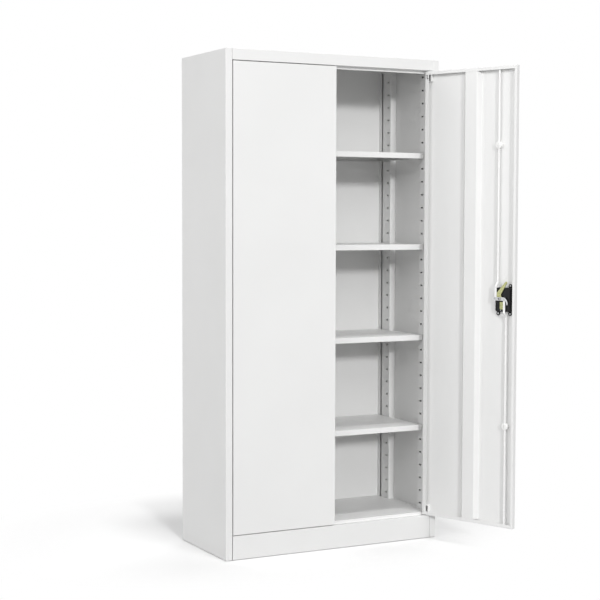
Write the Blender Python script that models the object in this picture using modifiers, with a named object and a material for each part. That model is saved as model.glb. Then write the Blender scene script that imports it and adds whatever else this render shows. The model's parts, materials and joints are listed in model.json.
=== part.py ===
"""Two-door steel storage cabinet: folded sheet carcass, adjustable shelves, pin-hung doors, three-point lock.

Metres, +Z up, front facing -Y. The origin is on the floor at mid-width, in the middle of the plinth's
floor flange. The left door is shut and the right door stands open.
Pieces are drawn with both doors shut, in a frame whose front face is y = 0, and hang on empties:
one for the cabinet and one on the axis of every moving body.
"""
import math

import bmesh
import bpy
from mathutils import Matrix, Vector

# Overall size
WIDTH = 0.900
DEPTH = 0.400
HEIGHT = 1.850

# Folded sheet
SHEET = 0.0008              # wall of the panels, shelves and doors
BEND = 0.0015               # outside radius of a panel's folds
FIT = 0.0003                # gap between pieces that touch
BORE_FIT = 0.0004           # radial gap round pins, rods and spindles
FOLD_ANGLE = 30             # folds sharper than this, in degrees, are rounded

# Frame round the doors
UPRIGHT_FACE = 0.026        # side panel flange seen from the front
REBATE = 0.0235             # depth of the recess that the doors close into
RAIL_FACE = 0.0405          # front face of the top panel
PLINTH_FACE = 0.0875        # front face of the bottom panel
STOP_LIP = 0.011            # lips that the doors stop behind, top and bottom
FLOOR_FLANGE = 0.024        # plinth flange that lies on the floor
REAR_RETURN = 0.020         # side panel's rear return, and the back panel's rim
TOP_RETURN = 0.020          # side panel's top return, and the top panel's side flanges
FLOOR_RETURN = 0.012        # side panel's return above the floor
DECK_FLANGE = 0.020         # rear flange of the bottom panel
EAR_FLANGE = 0.015          # turned down ends of the bottom panel
NOTCH = 0.030               # clear of the corner where a side flange stops

# Slotted shelf posts
POST_FRONT = 0.030          # front post behind the front face, rear post before the rear face
POST_WIDTH = 0.060
POST_SHEET = 0.0012
POST_BEND = 0.0022
SLOT_FROM_EDGE = 0.018      # slot row from the post edge nearest mid-depth
SLOT_WIDTH = 0.014
SLOT_TALL = 0.006
SLOT_PITCH = 0.0505
FIRST_SLOT = 0.1237
SLOT_END_MARGIN = 0.030

# Shelves and their clips
SHELF_SLOTS = (6, 13, 20, 27)   # slot that carries each shelf, counted from the lowest
SHELF_FACE = 0.021
SHELF_RETURN = 0.010
SHELF_SETBACK = 0.055
SHELF_SIDE_GAP = 0.0025
SHELF_REAR_GAP = 0.004
CLIP_SHEET = 0.0012
CLIP_BEND = 0.0016
CLIP_DROP = 0.012           # ledge below the slot's middle
CLIP_REACH = 0.015
CLIP_HOOK = 0.007
CLIP_SLACK = 0.0005         # behind the post wall and beside the slot

# Doors
HINGE_GAP = 0.004           # door edge to upright
DOOR_GAP = 0.003            # above and below the doors
MEETING_GAP = 0.0025        # between the two doors
LEFT_DOOR_REACH = 0.002     # left door past mid-width
DOOR_THICKNESS = 0.018
HINGE_LIP = 0.018
FREE_LIP = 0.010
TOP_LIP = 0.013
BOTTOM_LIP = 0.014
RIGHT_DOOR_ANGLE = 111.0    # degrees open

# Stiffener behind each door skin
STIFFENER_FROM_HINGE = 0.187
STIFFENER_FACE = 0.053
STIFFENER_SLOPE = 0.013
STIFFENER_FOOT = 0.012

# Hinges
PIVOT_FROM_EDGE = 0.0095
PIVOT_DEPTH = 0.0085
PIN_DIAMETER = 0.006
PIN_REACH = 0.0105          # past the door's edge
PIN_HEAD_DIAMETER = 0.010
PIN_HEAD_TALL = 0.004
BRACKET_SHEET = 0.0015
BRACKET_BEND = 0.0022
BRACKET_WIDTH = 0.027       # from the door's hinge edge
BRACKET_TALL = 0.0375
BOLT_TAIL = 0.005           # below the bracket
BOLT_TRAVEL = 0.013
FINGER_DIAMETER = 0.003
FINGER_DROP = 0.0145        # below the door's top edge
FINGER_REACH = 0.0065       # behind the door's lip
SLOT_FOOT = 0.0065
COLLAR_DIAMETER = 0.010
COLLAR_TALL = 0.0012
SPRING_WIRE = 0.0008
SPRING_DIAMETER = 0.008     # across the middle of the wire
SPRING_TURNS = 5.5

# Lock housing, placed from the spindle
LOCK_WIDTH = 0.064
LOCK_TALL = 0.090
LOCK_BESIDE_SPINDLE = 0.0405    # housing's free side to the spindle
LOCK_MID_DROP = 0.0035          # housing's middle below the spindle
LOCK_DEPTH = 0.019          # deeper than the door, so the latch lever clears the lips
LOCK_CORNER = 0.006
BEZEL_MARGIN = 0.005
BEZEL_THICKNESS = 0.002
POCKET_WALL = 0.005
POCKET_FLOOR = 0.004
POCKET_CORNER = 0.009
EARS_FROM_SIDE = (0.0078, 0.0597)    # from the housing's free side
EAR_WIDTH = 0.014
EAR_DROP = 0.014            # below the housing
EAR_THICKNESS = 0.0025
SCREW_DIAMETER = 0.0036
SCREW_HEAD_DIAMETER = 0.0080
SCREW_HEAD_TALL = 0.0020

# Handle and key
SPINDLE_FROM_EDGE = 0.061
SPINDLE_HEIGHT = 0.947
SPINDLE_DIAMETER = 0.008
SPINDLE_SQUARE = 0.0056
SPINDLE_TIP_DIAMETER = 0.0050
GRIP_LENGTH = 0.034
GRIP_WIDTH = 0.013
GRIP_PROUD = 0.002          # in front of the door
GRIP_CLEARANCE = 0.001      # above the pocket's floor
GRIP_CORNER = 0.005
NUT_DIAMETER = 0.011
NUT_TALL = 0.004
NUT_SIDES = 6
KEY_BESIDE_SPINDLE = 0.009  # towards the door's free edge
KEY_BELOW_SPINDLE = 0.025
KEY_DIAMETER = 0.012
KEY_FLANGE_DIAMETER = 0.016
KEY_FLANGE_TALL = 0.002
KEYWAY_WIDTH = 0.0022
KEYWAY_TALL = 0.0080
KEYWAY_DEPTH = 0.0080
KEY_CLAMP_WIDTH = 0.0205
KEY_CLAMP_TALL = 0.028
KEY_CLAMP_CORNER = 0.0025

# Latch work behind the housing, layer by layer
LAYER_GAP = 0.0004
LEVER_THICKNESS = 0.003
LEVER_HUB_DIAMETER = 0.016
LEVER_HEEL = (0.0075, 0.0165)   # from the spindle towards the hinge, and up
LEVER_HEEL_DIAMETER = 0.019
LEVER_TIP = (-0.0256, 0.0603)
LEVER_TIP_DIAMETER = 0.009
ROD_PLATE_THICKNESS = 0.0015
ROCKER_THICKNESS = 0.0025
ROCKER_LENGTH = 0.050
ROCKER_WIDTH = 0.013
ROCKER_HOLE_DIAMETER = 0.003
ROCKER_HOLE_OFFSET = 0.009
TAIL_ROOT_DIAMETER = 0.009
TAIL_BEND = (-0.029, -0.008)    # rocker's tail, from the spindle
TAIL_BEND_DIAMETER = 0.007
TAIL_END = (-0.034, -0.0225)
TAIL_END_DIAMETER = 0.0052
TAIL_STEP = 0.0002          # the tail is pressed thinner on both faces, twice, and narrower past its bend
CRANK_RADIUS = 0.019        # spindle to each rod
CRANK_PIN_DIAMETER = 0.004
HANDLE_TURN = 50.0          # degrees
ROD_SLACK = 0.0009          # above and below the crank pin, for its arc

# Lock rods
ROD_DIAMETER = 0.008
ROD_DEPTH = 0.010           # rod axis behind the front face
ROD_TIP_GAP = 0.0005        # drawn back inside the door's edge
ROD_BORE_REACH = 0.010      # bores past the door's edge, each way
ROD_SLOT_LENGTH = 0.028     # in the door's edges, so the rods can be put in
ROD_JOG = 0.016             # length of the bend up to the latch work
ROD_JOG_CLEARANCE = 0.004   # housing to the bend
ROD_PLATE_WIDTH = 0.009
ROD_PLATE_MARGIN = 0.0022
ROD_PLATE_LAP = 0.004       # plate inside the bar
GUIDE_DIAMETER = 0.026
GUIDE_BELOW_LIP = 0.0015
UPPER_GUIDE_HEIGHT = 1.516
LOWER_GUIDE_HEIGHT = 0.470

# Facets
BEND_STEPS = 2
CORNER_STEPS = 4
LINK_STEPS = 9              # facets of a bar's round end
ROUND_STEPS = 16
GUIDE_STEPS = 24
SPRING_STEPS = 10           # points in a turn
ROD_RESOLUTION = 2
SPRING_RESOLUTION = 1
RIM_ANGLE = 65              # edges sharper than this, in degrees, stay sharp on a round piece
TOUCH = 1e-6

# Derived places, doors shut
HALF = WIDTH / 2
INNER_WALL = HALF - SHEET
FRAME_EDGE = HALF - UPRIGHT_FACE
RAIL_UNDERSIDE = HEIGHT - RAIL_FACE
DECK_HEIGHT = PLINTH_FACE + STOP_LIP
DOOR_TOP = RAIL_UNDERSIDE - DOOR_GAP
DOOR_BOTTOM = PLINTH_FACE + DOOR_GAP
HINGE_EDGE = FRAME_EDGE - HINGE_GAP
PIVOT_X = HINGE_EDGE - PIVOT_FROM_EDGE
RIGHT_FREE_EDGE = LEFT_DOOR_REACH + MEETING_GAP
LIP_INSIDE = DOOR_THICKNESS - SHEET
POST_REAR = POST_FRONT + POST_WIDTH
SLOT_ROW = POST_REAR - SLOT_FROM_EDGE
SPINDLE_X = RIGHT_FREE_EDGE + SPINDLE_FROM_EDGE
UPPER_ROD_X = SPINDLE_X + CRANK_RADIUS
LOWER_ROD_X = SPINDLE_X - CRANK_RADIUS
KEY_X = SPINDLE_X - KEY_BESIDE_SPINDLE
KEY_HEIGHT = SPINDLE_HEIGHT - KEY_BELOW_SPINDLE
LOCK_LEFT = SPINDLE_X - LOCK_BESIDE_SPINDLE
LOCK_RIGHT = LOCK_LEFT + LOCK_WIDTH
LOCK_BOTTOM = SPINDLE_HEIGHT - LOCK_MID_DROP - LOCK_TALL / 2
LOCK_TOP = LOCK_BOTTOM + LOCK_TALL
UPPER_BRACKET_TOP = DOOR_TOP - SHEET - FIT
FINGER_HEIGHT = DOOR_TOP - FINGER_DROP
COLLAR_BOTTOM = FINGER_HEIGHT - FINGER_DIAMETER / 2 - COLLAR_TALL
POCKET_BACK = LOCK_DEPTH - POCKET_FLOOR
LEVER_FRONT = LOCK_DEPTH + FIT
LEVER_BACK = LEVER_FRONT + LEVER_THICKNESS
PLATE_FRONT = LEVER_BACK + LAYER_GAP
PLATE_BACK = PLATE_FRONT + ROD_PLATE_THICKNESS
ROCKER_FRONT = PLATE_BACK + LAYER_GAP
ROCKER_BACK = ROCKER_FRONT + ROCKER_THICKNESS
NUT_FRONT = ROCKER_BACK + FIT
NUT_BACK = NUT_FRONT + NUT_TALL

AXES = {"X": Vector((1, 0, 0)), "Y": Vector((0, 1, 0)), "Z": Vector((0, 0, 1))}
ALONG_Y = (-math.pi / 2, 0, 0)      # stands a turned piece's +Z along +Y


# Scene, materials and empties

for leftover in list(bpy.data.objects):
    bpy.data.objects.remove(leftover, do_unlink=True)

PARTS = bpy.data.collections.new("storage_cabinet")
TOOLS = bpy.data.collections.new("cutters")
for collection in (PARTS, TOOLS):
    bpy.context.scene.collection.children.link(collection)


def finish(name, colour, roughness, metallic):
    """A Principled material."""
    material = bpy.data.materials.new(name)
    material.use_nodes = True
    shader = material.node_tree.nodes["Principled BSDF"]
    shader.inputs["Base Color"].default_value = (*colour, 1.0)
    shader.inputs["Roughness"].default_value = roughness
    shader.inputs["Metallic"].default_value = metallic
    return material


WHITE_PAINT = finish("white_paint", (0.84, 0.84, 0.82), 0.45, 0.0)
ZINC = finish("zinc_plate", (0.62, 0.63, 0.64), 0.35, 1.0)
YELLOW_ZINC = finish("yellow_zinc_plate", (0.55, 0.47, 0.26), 0.38, 1.0)
BLACK_PLASTIC = finish("black_plastic", (0.018, 0.018, 0.020), 0.5, 0.0)
WHITE_PLASTIC = finish("white_plastic", (0.80, 0.80, 0.78), 0.35, 0.0)
NICKEL = finish("nickel_plate", (0.70, 0.68, 0.63), 0.25, 1.0)


def axis_empty(name, place, parent=None):
    """An empty on a moving body's axis, at its place with the doors shut."""
    empty = bpy.data.objects.new(name, None)
    PARTS.objects.link(empty)
    empty["place"] = place
    empty.parent = parent
    empty.location = Vector(place) - (Vector(parent["place"]) if parent else Vector())
    return empty


CABINET = axis_empty("cabinet_frame", (0, 0, 0))
CABINET.location.y = -FLOOR_FLANGE / 2
LEFT_HINGE = axis_empty("left_door_hinge", (-PIVOT_X, PIVOT_DEPTH, 0), CABINET)
RIGHT_HINGE = axis_empty("right_door_hinge", (PIVOT_X, PIVOT_DEPTH, 0), CABINET)
RIGHT_HINGE.rotation_euler.z = math.radians(RIGHT_DOOR_ANGLE)
LEFT_BOLT = axis_empty("left_hinge_bolt_slide", (-PIVOT_X, PIVOT_DEPTH, DOOR_TOP), LEFT_HINGE)
RIGHT_BOLT = axis_empty("right_hinge_bolt_slide", (PIVOT_X, PIVOT_DEPTH, DOOR_TOP), RIGHT_HINGE)
HANDLE_AXIS = axis_empty("handle_axis", (SPINDLE_X, LOCK_DEPTH, SPINDLE_HEIGHT), RIGHT_HINGE)
KEY_AXIS = axis_empty("key_axis", (KEY_X, LOCK_DEPTH, KEY_HEIGHT), RIGHT_HINGE)
UPPER_ROD_SLIDE = axis_empty("upper_rod_slide", (UPPER_ROD_X, ROD_DEPTH, DOOR_TOP), RIGHT_HINGE)
LOWER_ROD_SLIDE = axis_empty("lower_rod_slide", (LOWER_ROD_X, ROD_DEPTH, DOOR_BOTTOM), RIGHT_HINGE)


# Ways of making a piece

def place(name, bm, carrier, material=None, spot=(0, 0, 0), turn=(0, 0, 0)):
    """Link a bmesh as an object on its carrier; without a material it is a cutter."""
    mesh = bpy.data.meshes.new(name)
    bm.to_mesh(mesh)
    bm.free()
    piece = bpy.data.objects.new(name, mesh)
    piece.parent = carrier
    piece.location = Vector(spot) - Vector(carrier["place"])
    piece.rotation_euler = turn
    if material:
        PARTS.objects.link(piece)
        mesh.materials.append(material)
    else:
        TOOLS.objects.link(piece)
        piece.hide_render = True
        piece.display_type = "WIRE"
    return piece


def shade_round(piece):
    """Shade a round piece smooth, with its rims sharp."""
    piece.data.shade_smooth()
    piece.data.set_sharp_from_angle(angle=math.radians(RIM_ANGLE))
    return piece


def combine(piece, operation, *tools):
    """Boolean the tools into or out of a piece."""
    for tool in tools:
        step = piece.modifiers.new(tool.name, "BOOLEAN")
        step.operation = operation
        step.object = tool


def cut(piece, *tools):
    combine(piece, "DIFFERENCE", *tools)


def join(piece, *tools):
    combine(piece, "UNION", *tools)


def fold(piece, thickness=SHEET, radius=BEND):
    """Round the folds of an open surface and give it the sheet's thickness, inwards."""
    bends = piece.modifiers.new("bends", "BEVEL")
    bends.width = radius
    bends.segments = BEND_STEPS
    bends.limit_method = "ANGLE"
    bends.angle_limit = math.radians(FOLD_ANGLE)
    wall = piece.modifiers.new("wall", "SOLIDIFY")
    wall.thickness = thickness
    wall.offset = -1
    wall.use_even_offset = True


def add_box(bm, low, high):
    """A box between two corners."""
    low, high = Vector(low), Vector(high)
    matrix = Matrix.LocRotScale((low + high) / 2, None, high - low)
    return bmesh.ops.create_cube(bm, size=1, matrix=matrix)["verts"]


def box(low, high):
    bm = bmesh.new()
    add_box(bm, low, high)
    return bm


def rounded_box(low, high, axis, radius):
    """A box whose edges along one axis are rounded."""
    bm = box(low, high)
    along = AXES[axis]
    edges = [e for e in bm.edges if abs((e.verts[0].co - e.verts[1].co).normalized().dot(along)) > 0.9]
    bmesh.ops.bevel(bm, geom=edges, offset=radius, segments=CORNER_STEPS, profile=0.5, affect="EDGES")
    return bm


def cylinder(start, axis, length, diameter, steps=ROUND_STEPS):
    """A round bar from a point along an axis."""
    along = AXES[axis]
    turn = AXES["Z"].rotation_difference(along).to_matrix().to_4x4()
    middle = Matrix.Translation(Vector(start) + along * length / 2)
    bm = bmesh.new()
    bmesh.ops.create_cone(
        bm, cap_ends=True, segments=steps, radius1=diameter / 2, radius2=diameter / 2,
        depth=length, matrix=middle @ turn)
    return bm


def link(near, near_diameter, far, far_diameter, front, back):
    """A flat bar between two round ends of their own sizes, placed from the spindle."""
    along = Vector(far) - Vector(near)
    heading = math.atan2(along.y, along.x)
    lean = math.acos((near_diameter - far_diameter) / 2 / along.length)
    ends = ((far, far_diameter, heading - lean, 2 * lean),
            (near, near_diameter, heading + lean, math.tau - 2 * lean))
    bm = bmesh.new()
    outline = []
    for (across, up), diameter, first, sweep in ends:
        for step in range(LINK_STEPS + 1):
            angle = first + sweep * step / LINK_STEPS
            x = SPINDLE_X + across + diameter / 2 * math.cos(angle)
            z = SPINDLE_HEIGHT + up + diameter / 2 * math.sin(angle)
            outline.append(bm.verts.new((x, front, z)))
    grown = bmesh.ops.extrude_face_region(bm, geom=[bm.faces.new(outline)])["geom"]
    rear = [g for g in grown if isinstance(g, bmesh.types.BMVert)]
    bmesh.ops.translate(bm, verts=rear, vec=(0, back - front, 0))
    bmesh.ops.recalc_face_normals(bm, faces=bm.faces[:])
    return bm


def pan(low, high, axis, end, lips=None):
    """Surface of a tray: a box without its mouth, whose rim may turn inwards by a lip on each side.

    axis and end (0 low, 1 high) say which face is the mouth; lips maps (axis, end) to a lip's width.
    """
    bm = box(low, high)
    corners = (Vector(low), Vector(high))
    level = corners[end][axis]
    mouth = next(f for f in bm.faces if all(abs(v.co[axis] - level) < TOUCH for v in f.verts))
    if lips:
        bmesh.ops.inset_region(bm, faces=[mouth], thickness=min(lips.values()))
        middle = (corners[0] + corners[1]) / 2
        for vert in mouth.verts:
            for side in {key[0] for key in lips}:
                near = int(vert.co[side] > middle[side])
                inward = -1 if near else 1
                vert.co[side] = corners[near][side] + inward * lips[side, near]
    bmesh.ops.delete(bm, geom=[mouth], context="FACES_ONLY")
    return bm


def strip(profile, axis, start, end, wall_side):
    """Surface of a folded strip: profile points in the plane across an axis, carried from start to end.

    The sheet lies on wall_side of the first stretch.
    """
    along = AXES[axis]
    across = [AXES[name] for name in "XYZ" if name != axis]
    bm = bmesh.new()
    verts = [bm.verts.new(across[0] * a + across[1] * b + along * start) for a, b in profile]
    edges = [bm.edges.new(pair) for pair in zip(verts, verts[1:])]
    grown = bmesh.ops.extrude_edge_only(bm, edges=edges)["geom"]
    far = [g for g in grown if isinstance(g, bmesh.types.BMVert)]
    bmesh.ops.translate(bm, verts=far, vec=along * (end - start))
    bm.normal_update()
    first = edges[0].link_faces[0]
    if first.normal.dot(Vector(wall_side)) > 0:
        bmesh.ops.reverse_faces(bm, faces=bm.faces[:])
    return bm


def extend(bm, edges, vector):
    """Carry boundary edges on by a vector, and give the new far edges."""
    grown = bmesh.ops.extrude_edge_only(bm, edges=edges)["geom"]
    far = [g for g in grown if isinstance(g, bmesh.types.BMVert)]
    bmesh.ops.translate(bm, verts=far, vec=vector)
    return [e for e in grown if isinstance(e, bmesh.types.BMEdge) and e.is_boundary]


def side_edges(bm, x, y_from, y_to, z):
    """Boundary edges at one end of a panel, between two depths."""
    found = []
    for edge in bm.edges:
        a, b = (v.co for v in edge.verts)
        level = all(abs(p.x - x) < TOUCH and abs(p.z - z) < TOUCH for p in (a, b))
        if level and edge.is_boundary and min(a.y, b.y) > y_from - TOUCH and max(a.y, b.y) < y_to + TOUCH:
            found.append(edge)
    return found


def turned(profile):
    """Solid of revolution about Z from (radius, height) points, run down its outer side."""
    bm = bmesh.new()
    verts = [bm.verts.new((radius, 0, height)) for radius, height in profile]
    edges = [bm.edges.new(pair) for pair in zip(verts, verts[1:])]
    bmesh.ops.spin(
        bm, geom=verts + edges, cent=(0, 0, 0), axis=(0, 0, 1), angle=math.tau,
        steps=ROUND_STEPS, use_merge=True)
    bmesh.ops.remove_doubles(bm, verts=bm.verts[:], dist=TOUCH)
    bmesh.ops.recalc_face_normals(bm, faces=bm.faces[:])
    return bm


def swept_bar(points, diameter, resolution):
    """A round bar along a path of straight runs, as a mesh with welded caps."""
    curve = bpy.data.curves.new("bar_path", "CURVE")
    curve.dimensions = "3D"
    curve.bevel_depth = diameter / 2
    curve.bevel_resolution = resolution
    curve.use_fill_caps = True
    spline = curve.splines.new("POLY")
    spline.points.add(len(points) - 1)
    for point, spot in zip(spline.points, points):
        point.co = (*spot, 1)
    path = bpy.data.objects.new("bar_path", curve)
    bpy.context.scene.collection.objects.link(path)
    mesh = bpy.data.meshes.new_from_object(path.evaluated_get(bpy.context.evaluated_depsgraph_get()))
    bpy.data.objects.remove(path, do_unlink=True)
    bm = bmesh.new()
    bm.from_mesh(mesh)
    bpy.data.meshes.remove(mesh)
    bmesh.ops.remove_doubles(bm, verts=bm.verts[:], dist=TOUCH)
    return bm


# Carcass

def hinge_bores(label):
    """Cutters for the hinge pins in the ledges above and below the doors."""
    bores = []
    for side, x in (("left", -PIVOT_X), ("right", PIVOT_X)):
        start = (x, PIVOT_DEPTH, DOOR_BOTTOM - 2 * PIN_REACH)
        length = DOOR_TOP - DOOR_BOTTOM + 4 * PIN_REACH
        shape = cylinder(start, "Z", length, PIN_DIAMETER + 2 * BORE_FIT)
        bores.append(place(f"{label}_{side}_pin_bore", shape, CABINET))
    return bores


def rod_bore(name, x, edge):
    """A cutter for a lock rod, through the carcass next to one edge of the door."""
    start = (x, ROD_DEPTH, edge - ROD_BORE_REACH)
    return place(name, cylinder(start, "Z", 2 * ROD_BORE_REACH, ROD_DIAMETER + 2 * BORE_FIT), CABINET)


def rod_slot(name, x, edge):
    """A cutter for a long hole in the door's edge, as deep as the rod and longer."""
    half = Vector((ROD_SLOT_LENGTH / 2, ROD_DIAMETER / 2 + BORE_FIT, ROD_BORE_REACH))
    middle = Vector((x, ROD_DEPTH, edge))
    return place(name, rounded_box(middle - half, middle + half, "Z", half.y - FIT), RIGHT_HINGE)


def side_panels():
    """Wall with front, top, rear and floor flanges, each turned on by a return."""
    lips = {(1, 0): REBATE, (1, 1): REAR_RETURN, (2, 0): FLOOR_RETURN, (2, 1): TOP_RETURN}
    left = pan((-HALF, 0, 0), (-FRAME_EDGE, DEPTH, HEIGHT), 0, 1, lips)
    right = pan((FRAME_EDGE, 0, 0), (HALF, DEPTH, HEIGHT), 0, 0, lips)
    for name, surface in (("left_side_panel", left), ("right_side_panel", right)):
        fold(place(name, surface, CABINET, WHITE_PAINT))


def top_panel():
    """Stop lip, ledge, front rail and top in one folded sheet, with flanges down beside the side panels."""
    reach = FRAME_EDGE - FIT
    profile = [
        (REBATE, RAIL_UNDERSIDE - STOP_LIP), (REBATE, RAIL_UNDERSIDE), (0, RAIL_UNDERSIDE), (0, HEIGHT),
        (NOTCH, HEIGHT), (DEPTH - NOTCH, HEIGHT), (DEPTH, HEIGHT)]
    surface = strip(profile, "X", -reach, reach, AXES["Y"])
    for x in (-reach, reach):
        extend(surface, side_edges(surface, x, NOTCH, DEPTH - NOTCH, HEIGHT), Vector((0, 0, -TOP_RETURN)))
    piece = place("top_panel", surface, CABINET, WHITE_PAINT)
    fold(piece)
    cut(piece, *hinge_bores("top"), rod_bore("top_rod_bore", UPPER_ROD_X, DOOR_TOP))


def bottom_panel():
    """Floor flange, plinth, ledge, stop lip and deck in one folded sheet, with ears between the posts."""
    reach = FRAME_EDGE - 2 * FIT - SHEET
    rear = DEPTH - SHEET - FIT
    ear_front = POST_REAR + FIT
    profile = [
        (FLOOR_FLANGE, 0), (0, 0), (0, PLINTH_FACE), (REBATE, PLINTH_FACE), (REBATE, DECK_HEIGHT),
        (ear_front, DECK_HEIGHT), (DEPTH - ear_front, DECK_HEIGHT), (rear, DECK_HEIGHT),
        (rear, DECK_HEIGHT - DECK_FLANGE)]
    surface = strip(profile, "X", -reach, reach, AXES["Z"])
    for side in (-1, 1):
        edges = side_edges(surface, side * reach, ear_front, DEPTH - ear_front, DECK_HEIGHT)
        extend(surface, edges, Vector((side * (INNER_WALL - FIT - reach), 0, 0)))
        ear_edges = side_edges(surface, side * (INNER_WALL - FIT), 0, DEPTH, DECK_HEIGHT)
        extend(surface, ear_edges, Vector((0, 0, -EAR_FLANGE)))
    piece = place("bottom_panel", surface, CABINET, WHITE_PAINT)
    fold(piece)
    cut(piece, *hinge_bores("bottom"), rod_bore("bottom_rod_bore", LOWER_ROD_X, DOOR_BOTTOM))


def back_panel():
    """Flat back with a rim turned forwards against the side panels' rear returns."""
    reach = FRAME_EDGE - FIT
    low = (-reach, DEPTH - REAR_RETURN, 0)
    high = (reach, DEPTH, HEIGHT - SHEET - FIT)
    fold(place("back_panel", pan(low, high, 1, 0), CABINET, WHITE_PAINT))


def shelf_posts():
    """Channels up the four inside corners, with a row of slots for the shelf clips."""
    bottom = FLOOR_RETURN + FIT
    top = HEIGHT - TOP_RETURN - FIT
    count = int((top - SLOT_END_MARGIN - FIRST_SLOT) / SLOT_PITCH) + 1
    outer = INNER_WALL - FIT
    rows = (("front", POST_FRONT, POST_REAR, SLOT_ROW),
            ("rear", DEPTH - POST_REAR, DEPTH - POST_FRONT, DEPTH - SLOT_ROW))
    for side_name, side in (("left", -1), ("right", 1)):
        for row_name, y_from, y_to, row in rows:
            name = f"{row_name}_{side_name}_post"
            profile = [(side * outer, y_from), (side * FRAME_EDGE, y_from),
                       (side * FRAME_EDGE, y_to), (side * outer, y_to)]
            piece = place(name, strip(profile, "Z", bottom, top, AXES["Y"]), CABINET, WHITE_PAINT)
            fold(piece, POST_SHEET, POST_BEND)
            slots = bmesh.new()
            for index in range(count):
                z = FIRST_SLOT + index * SLOT_PITCH
                half = Vector((2 * POST_SHEET, SLOT_WIDTH / 2, SLOT_TALL / 2))
                middle = Vector((side * FRAME_EDGE, row, z))
                add_box(slots, middle - half, middle + half)
            cut(piece, place(f"{name}_slots", slots, CABINET))


def shelves():
    """Inverted trays with their edges folded down and in."""
    reach = FRAME_EDGE - SHELF_SIDE_GAP
    rear = DEPTH - SHEET - SHELF_REAR_GAP
    lips = {(axis, end): SHELF_RETURN for axis in (0, 1) for end in (0, 1)}
    for number, slot in enumerate(SHELF_SLOTS, 1):
        underside = FIRST_SLOT + slot * SLOT_PITCH - CLIP_DROP + FIT
        low = (-reach, SHELF_SETBACK, underside)
        high = (reach, rear, underside + SHELF_FACE)
        fold(place(f"shelf_{number}", pan(low, high, 2, 0, lips), CABINET, WHITE_PAINT))


def shelf_clips():
    """Bent strips hooked through the post slots, each with a ledge that carries a shelf's corner."""
    behind = POST_SHEET + CLIP_SLACK + CLIP_SHEET
    before = -FIT - CLIP_SHEET
    top = CLIP_SHEET / 2
    profile = [(behind, -CLIP_HOOK), (behind, top), (before, top), (before, -CLIP_DROP),
               (before - CLIP_REACH, -CLIP_DROP)]
    half = SLOT_WIDTH / 2 - CLIP_SLACK
    for number, slot in enumerate(SHELF_SLOTS, 1):
        z = FIRST_SLOT + slot * SLOT_PITCH
        for row_name, y in (("front", SLOT_ROW), ("rear", DEPTH - SLOT_ROW)):
            for side_name, side in (("left", -1), ("right", 1)):
                surface = strip(profile, "Y", -half, half, -AXES["X"])
                turn = (0, 0, 0 if side > 0 else math.pi)
                name = f"shelf_{number}_{row_name}_{side_name}_clip"
                piece = place(name, surface, CABINET, ZINC, (side * FRAME_EDGE, y, z), turn)
                fold(piece, CLIP_SHEET, CLIP_BEND)


# Doors and hinges

def door(name, side, free_edge, hinge):
    """Shallow tray with lips, bored for its pins and slotted for the finger of its hinge bolt."""
    edges = sorted((side * HINGE_EDGE, free_edge))
    low = (edges[0], 0, DOOR_BOTTOM)
    high = (edges[1], DOOR_THICKNESS, DOOR_TOP)
    hinge_end = int(side > 0)
    lips = {(0, hinge_end): HINGE_LIP, (0, 1 - hinge_end): FREE_LIP, (2, 0): BOTTOM_LIP, (2, 1): TOP_LIP}
    piece = place(name, pan(low, high, 1, 1, lips), hinge, WHITE_PAINT)
    fold(piece)
    pivot = side * PIVOT_X
    bore = cylinder(
        (pivot, PIVOT_DEPTH, DOOR_BOTTOM - PIN_REACH), "Z", DOOR_TOP - DOOR_BOTTOM + 2 * PIN_REACH,
        PIN_DIAMETER + 2 * BORE_FIT)
    half = FINGER_DIAMETER / 2 + BORE_FIT
    foot = pivot - side * SLOT_FOOT
    slot_low = FINGER_HEIGHT - BOLT_TRAVEL - half
    upright = box((pivot - half, LIP_INSIDE - SHEET, slot_low),
                  (pivot + half, DOOR_THICKNESS + SHEET, FINGER_HEIGHT + half))
    level = sorted((pivot - side * half / 2, foot))
    step = box((level[0], LIP_INSIDE - 2 * SHEET, slot_low + FIT),
               (level[1], DOOR_THICKNESS + 2 * SHEET, slot_low + 2 * half))
    cut(piece, place(f"{name}_pin_bore", bore, hinge), place(f"{name}_bolt_slot", upright, hinge),
        place(f"{name}_bolt_slot_foot", step, hinge))
    return piece


def stiffener(name, side, hinge):
    """Hat section up the middle of the door, its feet on the skin and its face level with the lips."""
    foot_level = SHEET + FIT + SHEET
    stops = [STIFFENER_FROM_HINGE - STIFFENER_SLOPE - STIFFENER_FOOT, STIFFENER_FROM_HINGE - STIFFENER_SLOPE,
             STIFFENER_FROM_HINGE, STIFFENER_FROM_HINGE + STIFFENER_FACE,
             STIFFENER_FROM_HINGE + STIFFENER_FACE + STIFFENER_SLOPE,
             STIFFENER_FROM_HINGE + STIFFENER_FACE + STIFFENER_SLOPE + STIFFENER_FOOT]
    levels = [foot_level, foot_level, DOOR_THICKNESS, DOOR_THICKNESS, foot_level, foot_level]
    profile = [(side * (HINGE_EDGE - stop), level) for stop, level in zip(stops, levels)]
    surface = strip(profile, "Z", DOOR_BOTTOM + BOTTOM_LIP + FIT, DOOR_TOP - TOP_LIP - FIT, -AXES["Y"])
    fold(place(name, surface, hinge, WHITE_PAINT))


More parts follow.
